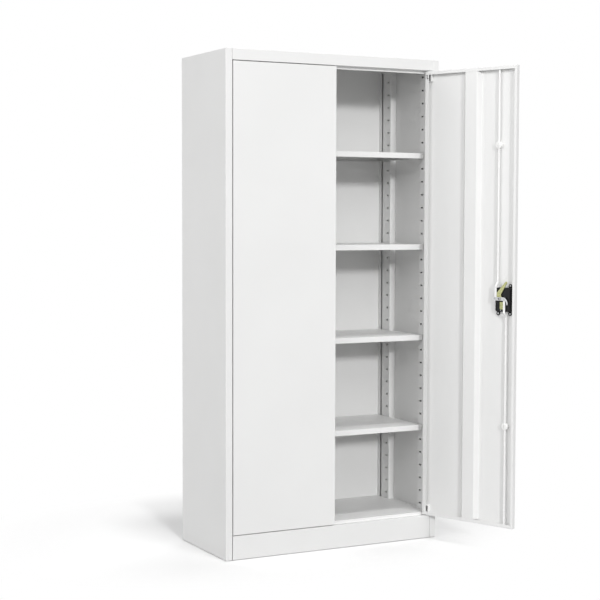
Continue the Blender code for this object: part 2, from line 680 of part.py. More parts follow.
def hinge_bracket(name, side, upper, hinge):
    """U-shaped bracket in a door corner that carries the hinge pin in two plates."""
    near = side * (HINGE_EDGE - SHEET - FIT)
    web = side * (HINGE_EDGE - BRACKET_WIDTH)
    if upper:
        outer, inward = UPPER_BRACKET_TOP, -1
    else:
        outer, inward = DOOR_BOTTOM + SHEET + FIT, 1
    inner = outer + inward * BRACKET_TALL
    profile = [(near, outer), (web, outer), (web, inner), (near, inner)]
    surface = strip(profile, "Y", SHEET + FIT, LIP_INSIDE - FIT, AXES["Z"] * inward)
    piece = place(name, surface, hinge, WHITE_PAINT)
    fold(piece, BRACKET_SHEET, BRACKET_BEND)
    low = min(outer, inner) - BRACKET_SHEET
    bore = cylinder((side * PIVOT_X, PIVOT_DEPTH, low), "Z", BRACKET_TALL + 2 * BRACKET_SHEET,
                    PIN_DIAMETER + 2 * BORE_FIT)
    cut(piece, place(f"{name}_bore", bore, hinge))


def lower_hinge_pin(name, side, hinge):
    """Headed pin that hangs in the lower bracket and stands in the plinth's ledge."""
    seat = DOOR_BOTTOM + SHEET + FIT + BRACKET_SHEET + FIT
    pin, head = PIN_DIAMETER / 2, PIN_HEAD_DIAMETER / 2
    profile = [(0, seat + PIN_HEAD_TALL), (head, seat + PIN_HEAD_TALL), (head, seat), (pin, seat),
               (pin, DOOR_BOTTOM - PIN_REACH), (0, DOOR_BOTTOM - PIN_REACH)]
    shade_round(place(name, turned(profile), hinge, ZINC, (side * PIVOT_X, PIVOT_DEPTH, 0)))


def hinge_bolt(name, side, slide):
    """Upper hinge pin with a collar, which its finger draws down against a spring to lift the door off."""
    tail = UPPER_BRACKET_TOP - BRACKET_TALL - BOLT_TAIL
    top = DOOR_TOP + PIN_REACH
    collar_top = COLLAR_BOTTOM + COLLAR_TALL + FIT
    pin, collar = PIN_DIAMETER / 2, COLLAR_DIAMETER / 2
    profile = [(0, top), (pin, top), (pin, collar_top), (collar, collar_top), (collar, COLLAR_BOTTOM),
               (pin, COLLAR_BOTTOM), (pin, tail), (0, tail)]
    piece = place(name, turned(profile), slide, ZINC, (side * PIVOT_X, PIVOT_DEPTH, 0))
    finger = cylinder((side * PIVOT_X, PIVOT_DEPTH, FINGER_HEIGHT), "Y",
                      DOOR_THICKNESS + FINGER_REACH - PIVOT_DEPTH, FINGER_DIAMETER)
    join(shade_round(piece), place(f"{name}_finger", finger, slide))


def hinge_spring(name, side, hinge):
    """Coil round the hinge bolt, from the bracket's lower plate up to the bolt's collar."""
    low = UPPER_BRACKET_TOP - BRACKET_TALL + BRACKET_SHEET + FIT + SPRING_WIRE / 2
    high = COLLAR_BOTTOM - FIT - SPRING_WIRE / 2
    count = round(SPRING_TURNS * SPRING_STEPS)
    points = []
    for index in range(count + 1):
        angle = math.tau * index / SPRING_STEPS
        points.append((SPRING_DIAMETER / 2 * math.cos(angle), SPRING_DIAMETER / 2 * math.sin(angle),
                       low + (high - low) * index / count))
    coil = swept_bar(points, SPRING_WIRE, SPRING_RESOLUTION)
    shade_round(place(name, coil, hinge, ZINC, (side * PIVOT_X, PIVOT_DEPTH, 0)))


def hang_door(label, side, free_edge, hinge, slide):
    """One door with its stiffener and hinges."""
    skin = door(f"{label}_door", side, free_edge, hinge)
    stiffener(f"{label}_door_stiffener", side, hinge)
    hinge_bracket(f"{label}_upper_hinge_bracket", side, True, hinge)
    hinge_bracket(f"{label}_lower_hinge_bracket", side, False, hinge)
    lower_hinge_pin(f"{label}_lower_hinge_pin", side, hinge)
    hinge_bolt(f"{label}_upper_hinge_bolt", side, slide)
    hinge_spring(f"{label}_hinge_spring", side, hinge)
    return skin


# Three-point lock in the right door

def lock_housing(skin):
    """Black cup with a bezel outside the door and two ears screwed to the inside of the skin."""
    low = (LOCK_LEFT, -FIT - BEZEL_THICKNESS / 2, LOCK_BOTTOM)
    high = (LOCK_RIGHT, LOCK_DEPTH, LOCK_TOP)
    piece = place("lock_housing", rounded_box(low, high, "Y", LOCK_CORNER), RIGHT_HINGE, BLACK_PLASTIC)
    bezel = rounded_box((LOCK_LEFT - BEZEL_MARGIN, -FIT - BEZEL_THICKNESS, LOCK_BOTTOM - BEZEL_MARGIN),
                        (LOCK_RIGHT + BEZEL_MARGIN, -FIT, LOCK_TOP + BEZEL_MARGIN),
                        "Y", LOCK_CORNER + BEZEL_MARGIN)
    join(shade_round(piece), place("lock_bezel", bezel, RIGHT_HINGE))
    ear_front = SHEET + FIT
    for number, from_side in enumerate(EARS_FROM_SIDE, 1):
        x = LOCK_LEFT + from_side
        ear = rounded_box((x - EAR_WIDTH / 2, ear_front, LOCK_BOTTOM - EAR_DROP),
                          (x + EAR_WIDTH / 2, ear_front + EAR_THICKNESS, LOCK_BOTTOM + LOCK_CORNER),
                          "Y", EAR_WIDTH / 2 - FIT)
        join(piece, place(f"lock_ear_{number}", ear, RIGHT_HINGE))
        z = LOCK_BOTTOM - EAR_DROP + EAR_WIDTH / 2
        hole = cylinder((x, 0, z), "Y", LOCK_DEPTH, SCREW_DIAMETER + 2 * BORE_FIT)
        cut(piece, place(f"lock_ear_hole_{number}", hole, RIGHT_HINGE))
        seat = ear_front + EAR_THICKNESS + FIT
        shank, head = SCREW_DIAMETER / 2, SCREW_HEAD_DIAMETER / 2
        profile = [(0, seat + SCREW_HEAD_TALL), (head, seat + SCREW_HEAD_TALL), (head, seat), (shank, seat),
                   (shank, ear_front), (0, ear_front)]
        screw = place(f"lock_screw_{number}", turned(profile), RIGHT_HINGE, ZINC, (x, 0, z), ALONG_Y)
        shade_round(screw)
    pocket = rounded_box((LOCK_LEFT + POCKET_WALL, -LOCK_DEPTH, LOCK_BOTTOM + POCKET_WALL),
                         (LOCK_RIGHT - POCKET_WALL, POCKET_BACK, LOCK_TOP - POCKET_WALL),
                         "Y", POCKET_CORNER)
    spindle = cylinder((SPINDLE_X, 0, SPINDLE_HEIGHT), "Y", 2 * LOCK_DEPTH, SPINDLE_DIAMETER + 2 * BORE_FIT)
    key = cylinder((KEY_X, 0, KEY_HEIGHT), "Y", 2 * LOCK_DEPTH, KEY_DIAMETER + 2 * BORE_FIT)
    cut(piece, place("lock_pocket", pocket, RIGHT_HINGE), place("lock_spindle_bore", spindle, RIGHT_HINGE),
        place("lock_key_bore", key, RIGHT_HINGE))
    window = rounded_box((LOCK_LEFT - FIT, -LOCK_DEPTH, LOCK_BOTTOM - FIT),
                         (LOCK_RIGHT + FIT, POCKET_BACK, LOCK_TOP + FIT), "Y", LOCK_CORNER)
    cut(skin, place("lock_window", window, RIGHT_HINGE))


def turn_handle():
    """Grip in the pocket, with a round journal, a square shank and a threaded tip in one piece."""
    half = Vector((GRIP_LENGTH / 2, 0, GRIP_WIDTH / 2))
    middle = Vector((SPINDLE_X, 0, SPINDLE_HEIGHT))
    front = middle - half - AXES["Y"] * GRIP_PROUD
    back = middle + half + AXES["Y"] * (POCKET_BACK - GRIP_CLEARANCE)
    piece = place("turn_handle", rounded_box(front, back, "Y", GRIP_CORNER), HANDLE_AXIS, BLACK_PLASTIC)
    start = (SPINDLE_X, POCKET_BACK / 2, SPINDLE_HEIGHT)
    journal = cylinder(start, "Y", LOCK_DEPTH - POCKET_BACK / 2, SPINDLE_DIAMETER)
    square = SPINDLE_SQUARE / 2
    shank = box((SPINDLE_X - square, POCKET_BACK, SPINDLE_HEIGHT - square),
                (SPINDLE_X + square, ROCKER_BACK, SPINDLE_HEIGHT + square))
    tip = cylinder((SPINDLE_X, LOCK_DEPTH, SPINDLE_HEIGHT), "Y", NUT_BACK + FIT - LOCK_DEPTH,
                   SPINDLE_TIP_DIAMETER)
    join(shade_round(piece), place("handle_journal", journal, HANDLE_AXIS),
         place("handle_shank", shank, HANDLE_AXIS), place("handle_tip", tip, HANDLE_AXIS))


def square_hole(name):
    """A cutter for the handle's square shank."""
    half = SPINDLE_SQUARE / 2 + FIT
    hole = box((SPINDLE_X - half, POCKET_BACK, SPINDLE_HEIGHT - half),
               (SPINDLE_X + half, NUT_BACK, SPINDLE_HEIGHT + half))
    return place(name, hole, HANDLE_AXIS)


def latch_lever():
    """Plated arm on the shank, cranked at its heel, that swings to the free edge as the handle turns."""
    hub = link((0, 0), LEVER_HUB_DIAMETER, LEVER_HEEL, LEVER_HEEL_DIAMETER, LEVER_FRONT, LEVER_BACK)
    piece = place("latch_lever", hub, HANDLE_AXIS, YELLOW_ZINC)
    arm = link(LEVER_HEEL, LEVER_HEEL_DIAMETER, LEVER_TIP, LEVER_TIP_DIAMETER, LEVER_FRONT, LEVER_BACK)
    join(shade_round(piece), place("latch_lever_arm", arm, HANDLE_AXIS))
    cut(piece, square_hole("latch_lever_hole"))


def rocker():
    """Plated bar on the shank, with a crank pin at each end for the rods and a tail bent down."""
    low = (SPINDLE_X - ROCKER_LENGTH / 2, ROCKER_FRONT, SPINDLE_HEIGHT - ROCKER_WIDTH / 2)
    high = (SPINDLE_X + ROCKER_LENGTH / 2, ROCKER_BACK, SPINDLE_HEIGHT + ROCKER_WIDTH / 2)
    bar = rounded_box(low, high, "Y", ROCKER_WIDTH / 2 - FIT)
    piece = shade_round(place("rocker_plate", bar, HANDLE_AXIS, ZINC))
    root = (-CRANK_RADIUS, 0)
    upper = link(root, TAIL_ROOT_DIAMETER, TAIL_BEND, TAIL_BEND_DIAMETER,
                 ROCKER_FRONT + TAIL_STEP, ROCKER_BACK - TAIL_STEP)
    lower = link(TAIL_BEND, TAIL_BEND_DIAMETER - 2 * TAIL_STEP, TAIL_END, TAIL_END_DIAMETER,
                 ROCKER_FRONT + 2 * TAIL_STEP, ROCKER_BACK - 2 * TAIL_STEP)
    join(piece, place("rocker_tail_root", upper, HANDLE_AXIS), place("rocker_tail_end", lower, HANDLE_AXIS))
    for number, side in enumerate((-1, 1), 1):
        pin = cylinder((SPINDLE_X + side * CRANK_RADIUS, PLATE_FRONT, SPINDLE_HEIGHT), "Y",
                       ROCKER_BACK - PLATE_FRONT - ROCKER_THICKNESS / 2, CRANK_PIN_DIAMETER)
        join(piece, place(f"crank_pin_{number}", pin, HANDLE_AXIS))
        hole = cylinder((SPINDLE_X + side * ROCKER_HOLE_OFFSET, PLATE_BACK, SPINDLE_HEIGHT), "Y",
                        NUT_BACK - PLATE_BACK, ROCKER_HOLE_DIAMETER)
        cut(piece, place(f"rocker_hole_{number}", hole, HANDLE_AXIS))
    cut(piece, square_hole("rocker_square_hole"))


def spindle_nut():
    """Hexagon nut on the handle's threaded tip."""
    start = (SPINDLE_X, NUT_FRONT, SPINDLE_HEIGHT)
    piece = place("spindle_nut", cylinder(start, "Y", NUT_TALL, NUT_DIAMETER, NUT_SIDES), HANDLE_AXIS, ZINC)
    start = (SPINDLE_X, LOCK_DEPTH, SPINDLE_HEIGHT)
    bore = cylinder(start, "Y", 2 * NUT_BACK, SPINDLE_TIP_DIAMETER + 2 * BORE_FIT)
    cut(piece, place("spindle_nut_bore", bore, HANDLE_AXIS))


def key_lock():
    """Key plug through the housing, held by a clamp plate behind it."""
    low = (KEY_X - KEY_CLAMP_WIDTH / 2, LEVER_FRONT, KEY_HEIGHT - KEY_CLAMP_TALL / 2)
    high = (KEY_X + KEY_CLAMP_WIDTH / 2, LEVER_BACK, KEY_HEIGHT + KEY_CLAMP_TALL / 2)
    clamp = place("key_clamp", rounded_box(low, high, "Y", KEY_CLAMP_CORNER), RIGHT_HINGE, YELLOW_ZINC)
    bore = cylinder((KEY_X, POCKET_BACK, KEY_HEIGHT), "Y", NUT_BACK, KEY_DIAMETER + 2 * BORE_FIT)
    cut(shade_round(clamp), place("key_clamp_bore", bore, RIGHT_HINGE))
    barrel, flange = KEY_DIAMETER / 2, KEY_FLANGE_DIAMETER / 2
    seat = POCKET_BACK - FIT
    end = PLATE_FRONT - FIT
    profile = [(0, end), (barrel, end), (barrel, seat), (flange, seat), (flange, seat - KEY_FLANGE_TALL),
               (0, seat - KEY_FLANGE_TALL)]
    plug = place("key_plug", turned(profile), KEY_AXIS, NICKEL, (KEY_X, 0, KEY_HEIGHT), ALONG_Y)
    face = seat - KEY_FLANGE_TALL
    slot = box((KEY_X - KEYWAY_WIDTH / 2, face - KEYWAY_DEPTH, KEY_HEIGHT - KEYWAY_TALL / 2),
               (KEY_X + KEYWAY_WIDTH / 2, face + KEYWAY_DEPTH, KEY_HEIGHT + KEYWAY_TALL / 2))
    cut(shade_round(plug), place("keyway", slot, KEY_AXIS))


def lock_rod(name, x, tip, up, slide):
    """Round bar down the door, bent up over the housing to a flat end that is slotted for the crank pin.

    up is 1 for the rod above the lock and -1 for the one below it.
    """
    inward = 1 if x < SPINDLE_X else -1
    plate_depth = (PLATE_FRONT + PLATE_BACK) / 2
    near = LOCK_TOP + ROD_JOG_CLEARANCE if up > 0 else LOCK_BOTTOM - ROD_JOG_CLEARANCE
    points = [(x, ROD_DEPTH, tip), (x, ROD_DEPTH, near + up * ROD_JOG), (x, plate_depth, near),
              (x, plate_depth, near - up * 2 * ROD_PLATE_LAP)]
    piece = place(name, swept_bar(points, ROD_DIAMETER, ROD_RESOLUTION), slide, WHITE_PAINT)
    pin = CRANK_PIN_DIAMETER / 2
    swing = CRANK_RADIUS * (1 - math.cos(math.radians(HANDLE_TURN)))
    slot_half = pin + ROD_SLACK
    foot_end = SPINDLE_HEIGHT - up * (slot_half + ROD_PLATE_MARGIN)
    foot_top = SPINDLE_HEIGHT + up * (slot_half + ROD_PLATE_MARGIN)
    z = sorted((near, foot_end))
    blade = box((x - ROD_PLATE_WIDTH / 2, PLATE_FRONT, z[0]), (x + ROD_PLATE_WIDTH / 2, PLATE_BACK, z[1]))
    sides = sorted((x - inward * ROD_PLATE_WIDTH / 2,
                    x + inward * (swing + pin + BORE_FIT + ROD_PLATE_MARGIN)))
    z = sorted((foot_top, foot_end - up * FIT))
    foot = box((sides[0], PLATE_FRONT, z[0]), (sides[1], PLATE_BACK, z[1]))
    sides = sorted((x - inward * (pin + BORE_FIT), x + inward * (swing + pin + BORE_FIT)))
    slot = box((sides[0], LEVER_BACK, SPINDLE_HEIGHT - slot_half),
               (sides[1], ROCKER_FRONT, SPINDLE_HEIGHT + slot_half))
    join(shade_round(piece), place(f"{name}_blade", blade, slide), place(f"{name}_foot", foot, slide))
    cut(piece, place(f"{name}_slot", slot, slide))


def rod_guide(name, x, height):
    """Round plastic guide on the door skin, bored for its rod."""
    back = LIP_INSIDE - GUIDE_BELOW_LIP + SHEET
    front = SHEET + FIT
    boss = cylinder((x, front, height), "Y", back - front, GUIDE_DIAMETER, GUIDE_STEPS)
    piece = place(name, boss, RIGHT_HINGE, WHITE_PLASTIC)
    bore = cylinder((x, ROD_DEPTH, height - GUIDE_DIAMETER), "Z", 2 * GUIDE_DIAMETER,
                    ROD_DIAMETER + 2 * BORE_FIT)
    cut(shade_round(piece), place(f"{name}_bore", bore, RIGHT_HINGE))


side_panels()
top_panel()
bottom_panel()
back_panel()
shelf_posts()
shelves()
shelf_clips()
hang_door("left", -1, LEFT_DOOR_REACH, LEFT_HINGE, LEFT_BOLT)
right_skin = hang_door("right", 1, RIGHT_FREE_EDGE, RIGHT_HINGE, RIGHT_BOLT)
lock_housing(right_skin)
cut(right_skin, rod_slot("right_door_upper_rod_slot", UPPER_ROD_X, DOOR_TOP),
    rod_slot("right_door_lower_rod_slot", LOWER_ROD_X, DOOR_BOTTOM))
turn_handle()
latch_lever()
rocker()
spindle_nut()
key_lock()
lock_rod("upper_lock_rod", UPPER_ROD_X, DOOR_TOP - ROD_TIP_GAP, 1, UPPER_ROD_SLIDE)
lock_rod("lower_lock_rod", LOWER_ROD_X, DOOR_BOTTOM + ROD_TIP_GAP, -1, LOWER_ROD_SLIDE)
rod_guide("upper_rod_guide", UPPER_ROD_X, UPPER_GUIDE_HEIGHT)
rod_guide("lower_rod_guide", LOWER_ROD_X, LOWER_GUIDE_HEIGHT)
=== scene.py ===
"""Looks of the two-door steel storage cabinet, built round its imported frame.

Metres, +Z up, front facing -Y. Pieces of the doors are drawn with the doors shut, their y being the depth
behind the doors' front face; those of the right door are then turned open about its hinge pins.
"""
import json
import math

import bmesh
import bpy
import numpy as np
from mathutils import Matrix, Vector


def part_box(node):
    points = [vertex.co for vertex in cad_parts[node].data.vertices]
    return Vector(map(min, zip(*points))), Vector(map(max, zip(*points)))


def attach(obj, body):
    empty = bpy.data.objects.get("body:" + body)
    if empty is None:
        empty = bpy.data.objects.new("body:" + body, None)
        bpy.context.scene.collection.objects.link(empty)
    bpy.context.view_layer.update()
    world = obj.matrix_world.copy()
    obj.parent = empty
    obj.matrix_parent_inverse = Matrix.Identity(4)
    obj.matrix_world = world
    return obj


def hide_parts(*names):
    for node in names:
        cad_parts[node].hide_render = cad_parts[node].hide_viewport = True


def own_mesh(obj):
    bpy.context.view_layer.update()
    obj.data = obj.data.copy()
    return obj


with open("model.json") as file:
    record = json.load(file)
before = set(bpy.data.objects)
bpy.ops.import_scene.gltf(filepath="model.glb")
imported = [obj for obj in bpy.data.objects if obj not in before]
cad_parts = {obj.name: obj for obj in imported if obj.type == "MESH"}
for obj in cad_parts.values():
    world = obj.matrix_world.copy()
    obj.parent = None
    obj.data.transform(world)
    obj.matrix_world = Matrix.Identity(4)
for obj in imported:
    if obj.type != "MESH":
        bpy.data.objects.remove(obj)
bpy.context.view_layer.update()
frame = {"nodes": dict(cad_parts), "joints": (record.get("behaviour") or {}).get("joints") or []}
nodes = frame["nodes"]

# Carcass panels: side walls, top, bottom and back, each one 0.8 mm steel sheet with folded flanges and
# returns. The sheets are spot welded, phosphated and powder coated white; the coat cures to a fine orange
# peel over the sheet's own long, shallow waves.
noise_low, noise_high = 0.3, 0.7


def new_material(name):
    """A node material: itself, its tree, its shader and its object coordinates in metres."""
    material = bpy.data.materials.new(name)
    material.use_nodes = True
    tree = material.node_tree
    coords = tree.nodes.new("ShaderNodeTexCoord").outputs["Object"]
    return material, tree, tree.nodes["Principled BSDF"], coords


def noise(tree, coords, lumps, detail=2.0):
    """Smooth noise between 0 and 1, with so many lumps per metre."""
    node = tree.nodes.new("ShaderNodeTexNoise")
    node.inputs["Scale"].default_value = lumps
    node.inputs["Detail"].default_value = detail
    tree.links.new(coords, node.inputs["Vector"])
    return node.outputs["Fac"]


def between(tree, value, low=0.0, high=1.0):
    """The middle of a noise's range, where most of it lies, stretched to run from low to high."""
    node = tree.nodes.new("ShaderNodeMapRange")
    node.inputs["From Min"].default_value = noise_low
    node.inputs["From Max"].default_value = noise_high
    node.inputs["To Min"].default_value = low
    node.inputs["To Max"].default_value = high
    tree.links.new(value, node.inputs["Value"])
    return node.outputs["Result"]


def tint(tree, value, low, high):
    """The colour between low and high that the value picks."""
    node = tree.nodes.new("ShaderNodeMix")
    node.data_type = "RGBA"
    node.inputs["A"].default_value = (*low, 1)
    node.inputs["B"].default_value = (*high, 1)
    tree.links.new(value, node.inputs["Factor"])
    return node.outputs["Result"]


def bump(tree, height, tall, under=None):
    """A surface roughened by a height whose unit stands for tall metres, over another bump if given."""
    node = tree.nodes.new("ShaderNodeBump")
    node.inputs["Strength"].default_value = 1.0
    node.inputs["Distance"].default_value = tall
    tree.links.new(height, node.inputs["Height"])
    if under:
        tree.links.new(under, node.inputs["Normal"])
    return node.outputs["Normal"]


def surface(tree, shader, colour, roughness, normal):
    """Lead a colour, a roughness and a normal into the shader."""
    tree.links.new(colour, shader.inputs["Base Color"])
    tree.links.new(roughness, shader.inputs["Roughness"])
    tree.links.new(normal, shader.inputs["Normal"])


def powder_coat(name, wave_tall=0.0006, white=0.820, dullest=0.46):
    """Satin white coat: a tone that drifts a little, gloss in soft patches, and peel over the waves."""
    tone_lumps, gloss_lumps = 2.5, 14.0
    wave_lumps, peel_lumps = 4.0, 420.0
    gloss_range, peel_tall = 0.10, 0.00003
    dim = (white, white, white - 0.006)
    pale = (white + 0.025, white + 0.025, white + 0.020)
    material, tree, shader, coords = new_material(name)
    colour = tint(tree, between(tree, noise(tree, coords, tone_lumps)), dim, pale)
    roughness = between(tree, noise(tree, coords, gloss_lumps), dullest - gloss_range, dullest)
    waves = bump(tree, noise(tree, coords, wave_lumps, detail=0.0), wave_tall)
    peel = bump(tree, noise(tree, coords, peel_lumps), peel_tall, waves)
    surface(tree, shader, colour, roughness, peel)
    return material


def dress(names, material):
    """Give CAD nodes their material."""
    for name in names:
        nodes[name].data.materials.clear()
        nodes[name].data.materials.append(material)


carcass_coat = powder_coat("carcass_coat")
dress([f"{wall}_panel" for wall in ("left_side", "right_side", "top", "bottom", "back")], carcass_coat)

# Shelf posts: four 1.2 mm steel uprights, folded and pierced with a row of slots.
# They are spot welded to the side walls and coated together with the carcass.
dress([f"{end}_{side}_post" for end in ("front", "rear") for side in ("left", "right")], carcass_coat)

# Shelves: trays folded from 0.8 mm steel sheet, with a turned front and rear edge.
# They are powder coated on their own and laid on their clips afterwards.
shelf_coat = powder_coat("shelf_coat", wave_tall=0.0004)
dress([f"shelf_{number}" for number in (1, 2, 3, 4)], shelf_coat)

# Shelf clips: stamped 1.2 mm hooks that hang in the posts' slots, four under each shelf.
# Bright zinc plate over rolled steel, faintly blotched.


def zinc(name, low=(0.36, 0.365, 0.37), high=(0.52, 0.525, 0.53)):
    """Plated metal: blotches of two tones, uneven gloss and a fine grain."""
    blotch_lumps, blotch_detail = 260.0, 4.0
    gloss_lumps, shiniest, dullest = 500.0, 0.24, 0.42
    grain_lumps, grain_tall = 2600.0, 0.000012
    material, tree, shader, coords = new_material(name)
    blotch = between(tree, noise(tree, coords, blotch_lumps, blotch_detail))
    roughness = between(tree, noise(tree, coords, gloss_lumps), shiniest, dullest)
    grain = bump(tree, noise(tree, coords, grain_lumps), grain_tall)
    surface(tree, shader, tint(tree, blotch, low, high), roughness, grain)
    shader.inputs["Metallic"].default_value = 1.0
    return material


bright_zinc = zinc("bright_zinc")
dress([name for name in nodes if name.endswith("_clip")], bright_zinc)

# Doors: shallow trays of 0.8 mm steel sheet with lips on every edge, each with a hat-section stiffener welded
# behind its skin. Door and stiffener are powder coated in one go.
door_coat = powder_coat("door_coat", wave_tall=0.0008)
dress([f"{side}_{part}" for side in ("left", "right") for part in ("door", "door_stiffener")], door_coat)

# Hinge brackets: U-shaped, of 1.5 mm steel, with two plates that carry the pin or the bolt.
# They are welded inside the doors' hinge corners and coated with the door.
dress([name for name in nodes if name.endswith("_bracket")], door_coat)

# Hinge pins: a headed steel pin hangs in each door's lower bracket and stands in the plinth's ledge.
# Turned and zinc plated, with a domed head and a chamfered foot.
SIDES = {"left": -1, "right": 1}
joints = {joint["name"]: joint for joint in frame["joints"]}
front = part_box("left_door")[0].y
pivot = Vector(joints["right_door_swing"]["pos_m"])
pin_depth = pivot.y - front
opening = math.radians(-joints["right_door_swing"]["range_deg"][0])
to_front = Matrix.Translation((0, front, 0))
opened = Matrix.Translation(pivot) @ Matrix.Rotation(opening, 4, "Z") @ Matrix.Translation(-pivot)
door_place = {"left": to_front, "right": opened @ to_front}
hinge_place = {}
for side, sign in SIDES.items():
    hinge_place[side] = door_place[side] @ Matrix.Translation((sign * pivot.x, pin_depth, 0))
pin_radius, pin_foot_radius, pin_chamfer = 0.003, 0.0021, 0.0009
pin_head_radius, pin_head_tall = 0.005, 0.004
pin_head_ease, pin_head_dome = 0.0003, 0.0015
same_point = 1e-7
crease = math.radians(35)


def arc(centre, radius, start, end, count=6):
    """Points of a circle between two angles in degrees, as (across, along) pairs."""
    angle = np.radians(np.linspace(start, end, count))
    return np.column_stack([centre[0] + radius * np.cos(angle), centre[1] + radius * np.sin(angle)])


def lathe(profile, axis="Z", around=40):
    """Each (radius, height) of a profile carried round the axis: x = r cos t, and r sin t square to it."""
    radius, height = np.vstack(profile).T
    turn = np.linspace(0, 2 * np.pi, around, endpoint=False)
    east = radius[:, None] * np.cos(turn)
    other = radius[:, None] * np.sin(turn)
    rise = np.broadcast_to(height[:, None], east.shape)
    return np.stack([east, other, rise] if axis == "Z" else [east, rise, other], axis=-1)


def shade(mesh):
    """Smooth shading, apart from edges that bend by more than a crease does."""
    mesh.shade_smooth()
    mesh.set_sharp_from_angle(angle=crease)


def skin(name, grid, material, place):
    """A mesh through a grid of rings: neighbours are joined, each ring closes, one of no size is a point."""
    rings, around = grid.shape[:2]
    index = np.arange(rings * around).reshape(rings, around)
    corners = [index[:-1], np.roll(index[:-1], -1, 1), np.roll(index[1:], -1, 1), index[1:]]
    mesh = bpy.data.meshes.new(name)
    mesh.from_pydata(grid.reshape(-1, 3).tolist(), [], np.stack(corners, -1).reshape(-1, 4).tolist())
    shell = bmesh.new()
    shell.from_mesh(mesh)
    bmesh.ops.remove_doubles(shell, verts=shell.verts, dist=same_point)
    bmesh.ops.recalc_face_normals(shell, faces=shell.faces)
    shell.to_mesh(mesh)
    shell.free()
    mesh.transform(place)
    shade(mesh)
    mesh.materials.append(material)
    piece = bpy.data.objects.new(name, mesh)
    bpy.context.scene.collection.objects.link(piece)
    return piece


def fit(piece, body, slot, *replaced):
    """Hang a piece on its body and hide the CAD nodes that it stands for; the slot is not used."""
    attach(piece, body)
    if replaced:
        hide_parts(*replaced)


for side in SIDES:
    node = f"{side}_lower_hinge_pin"
    foot, head = (corner.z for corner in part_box(node))
    seat = head - pin_head_tall
    profile = [
        (0, foot), (pin_foot_radius, foot), (pin_radius, foot + pin_chamfer), (pin_radius, seat),
        (pin_head_radius - pin_head_ease, seat), (pin_head_radius, seat + pin_head_ease),
        *arc((pin_head_radius - pin_head_dome, head - pin_head_dome), pin_head_dome, 0, 90), (0, head)
    ]
    pin = skin(f"{side}_pin", lathe(profile), bright_zinc, hinge_place[side])
    fit(pin, f"{side}_door", "zinc_plate", node)

# Hinge bolts: the upper pins, each with a collar that a spring pushes up and a finger pressed in above it.
# The finger is drawn down the slot in the door's lip to lift the door off. Turned and zinc plated.
tail_radius, tail_chamfer = 0.0022, 0.0008
groove_radius, groove_slope = 0.0027, 0.0002
groove_low, groove_high = 0.0032, 0.0042
collar_radius, collar_tall = 0.005, 0.0012
collar_ease, collar_gap = 0.0003, 0.0003
tip_dome = 0.0018
finger_radius, finger_end = 0.0015, 0.0245
finger_dome, finger_sunk = 0.0008, 0.0002
finger_reach = finger_end - pin_depth
finger_profile = [
    (0, 0), (finger_radius, 0),
    *arc((finger_radius - finger_dome, finger_reach - finger_dome), finger_dome, 0, 90), (0, finger_reach)
]
needle = 0.000004


def combine(piece, operation, *tools):
    """Add closed shapes to a piece or take them out of it, keeping the result as its mesh.

    Faces thinner than a needle, which the cut leaves along nearly touching edges, are dissolved.
    """
    for tool in tools:
        step = piece.modifiers.new("step", "BOOLEAN")
        step.operation = operation
        step.material_mode = "TRANSFER"
        step.object = tool
    solid = bpy.data.meshes.new_from_object(piece.evaluated_get(bpy.context.evaluated_depsgraph_get()))
    piece.modifiers.clear()
    piece.data = solid
    shell = bmesh.new()
    shell.from_mesh(solid)
    bmesh.ops.dissolve_degenerate(shell, edges=shell.edges, dist=needle)
    bmesh.ops.triangulate(shell, faces=[face for face in shell.faces if len(face.verts) > 4])
    shell.to_mesh(solid)
    shell.free()
    shade(solid)
    for tool in tools:
        bpy.data.objects.remove(tool)
    return piece


for side in SIDES:
    node = f"{side}_upper_hinge_bolt"
    tail, tip = (corner.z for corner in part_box(node))
    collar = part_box(f"{side}_hinge_spring")[1].z + collar_gap
    collar_top = collar + collar_tall
    profile = [
        (0, tail), (tail_radius, tail), (pin_radius, tail + tail_chamfer),
        (pin_radius, tail + groove_low), (groove_radius, tail + groove_low + groove_slope),
        (groove_radius, tail + groove_high - groove_slope), (pin_radius, tail + groove_high),
        (pin_radius, collar), (collar_radius - collar_ease, collar), (collar_radius, collar + collar_ease),
        (collar_radius, collar_top - collar_ease), (collar_radius - collar_ease, collar_top),
        (pin_radius, collar_top), *arc((pin_radius - tip_dome, tip - tip_dome), tip_dome, 0, 90), (0, tip)
    ]
    bolt = skin(f"{side}_bolt", lathe(profile), bright_zinc, hinge_place[side])
    finger_place = hinge_place[side] @ Matrix.Translation((0, 0, collar_top - finger_sunk + finger_radius))
    finger = skin("finger", lathe(finger_profile, "Y", around=24), bright_zinc, finger_place)
    fit(combine(bolt, "UNION", finger), f"{side}_hinge_bolt", "zinc_plate", node)

# Hinge springs: coils of 0.8 mm steel wire round the bolts, standing on the brackets' lower plates.
# The end coils lie close and the middle ones open. The coil is drawn at its rest length, on the door, and
# doesn't shorten here as its bolt is drawn down.
wire_half, coil_radius = 0.0004, 0.004
coil_turns, coil_points, end_closeness = 6.5, 220, 0.62


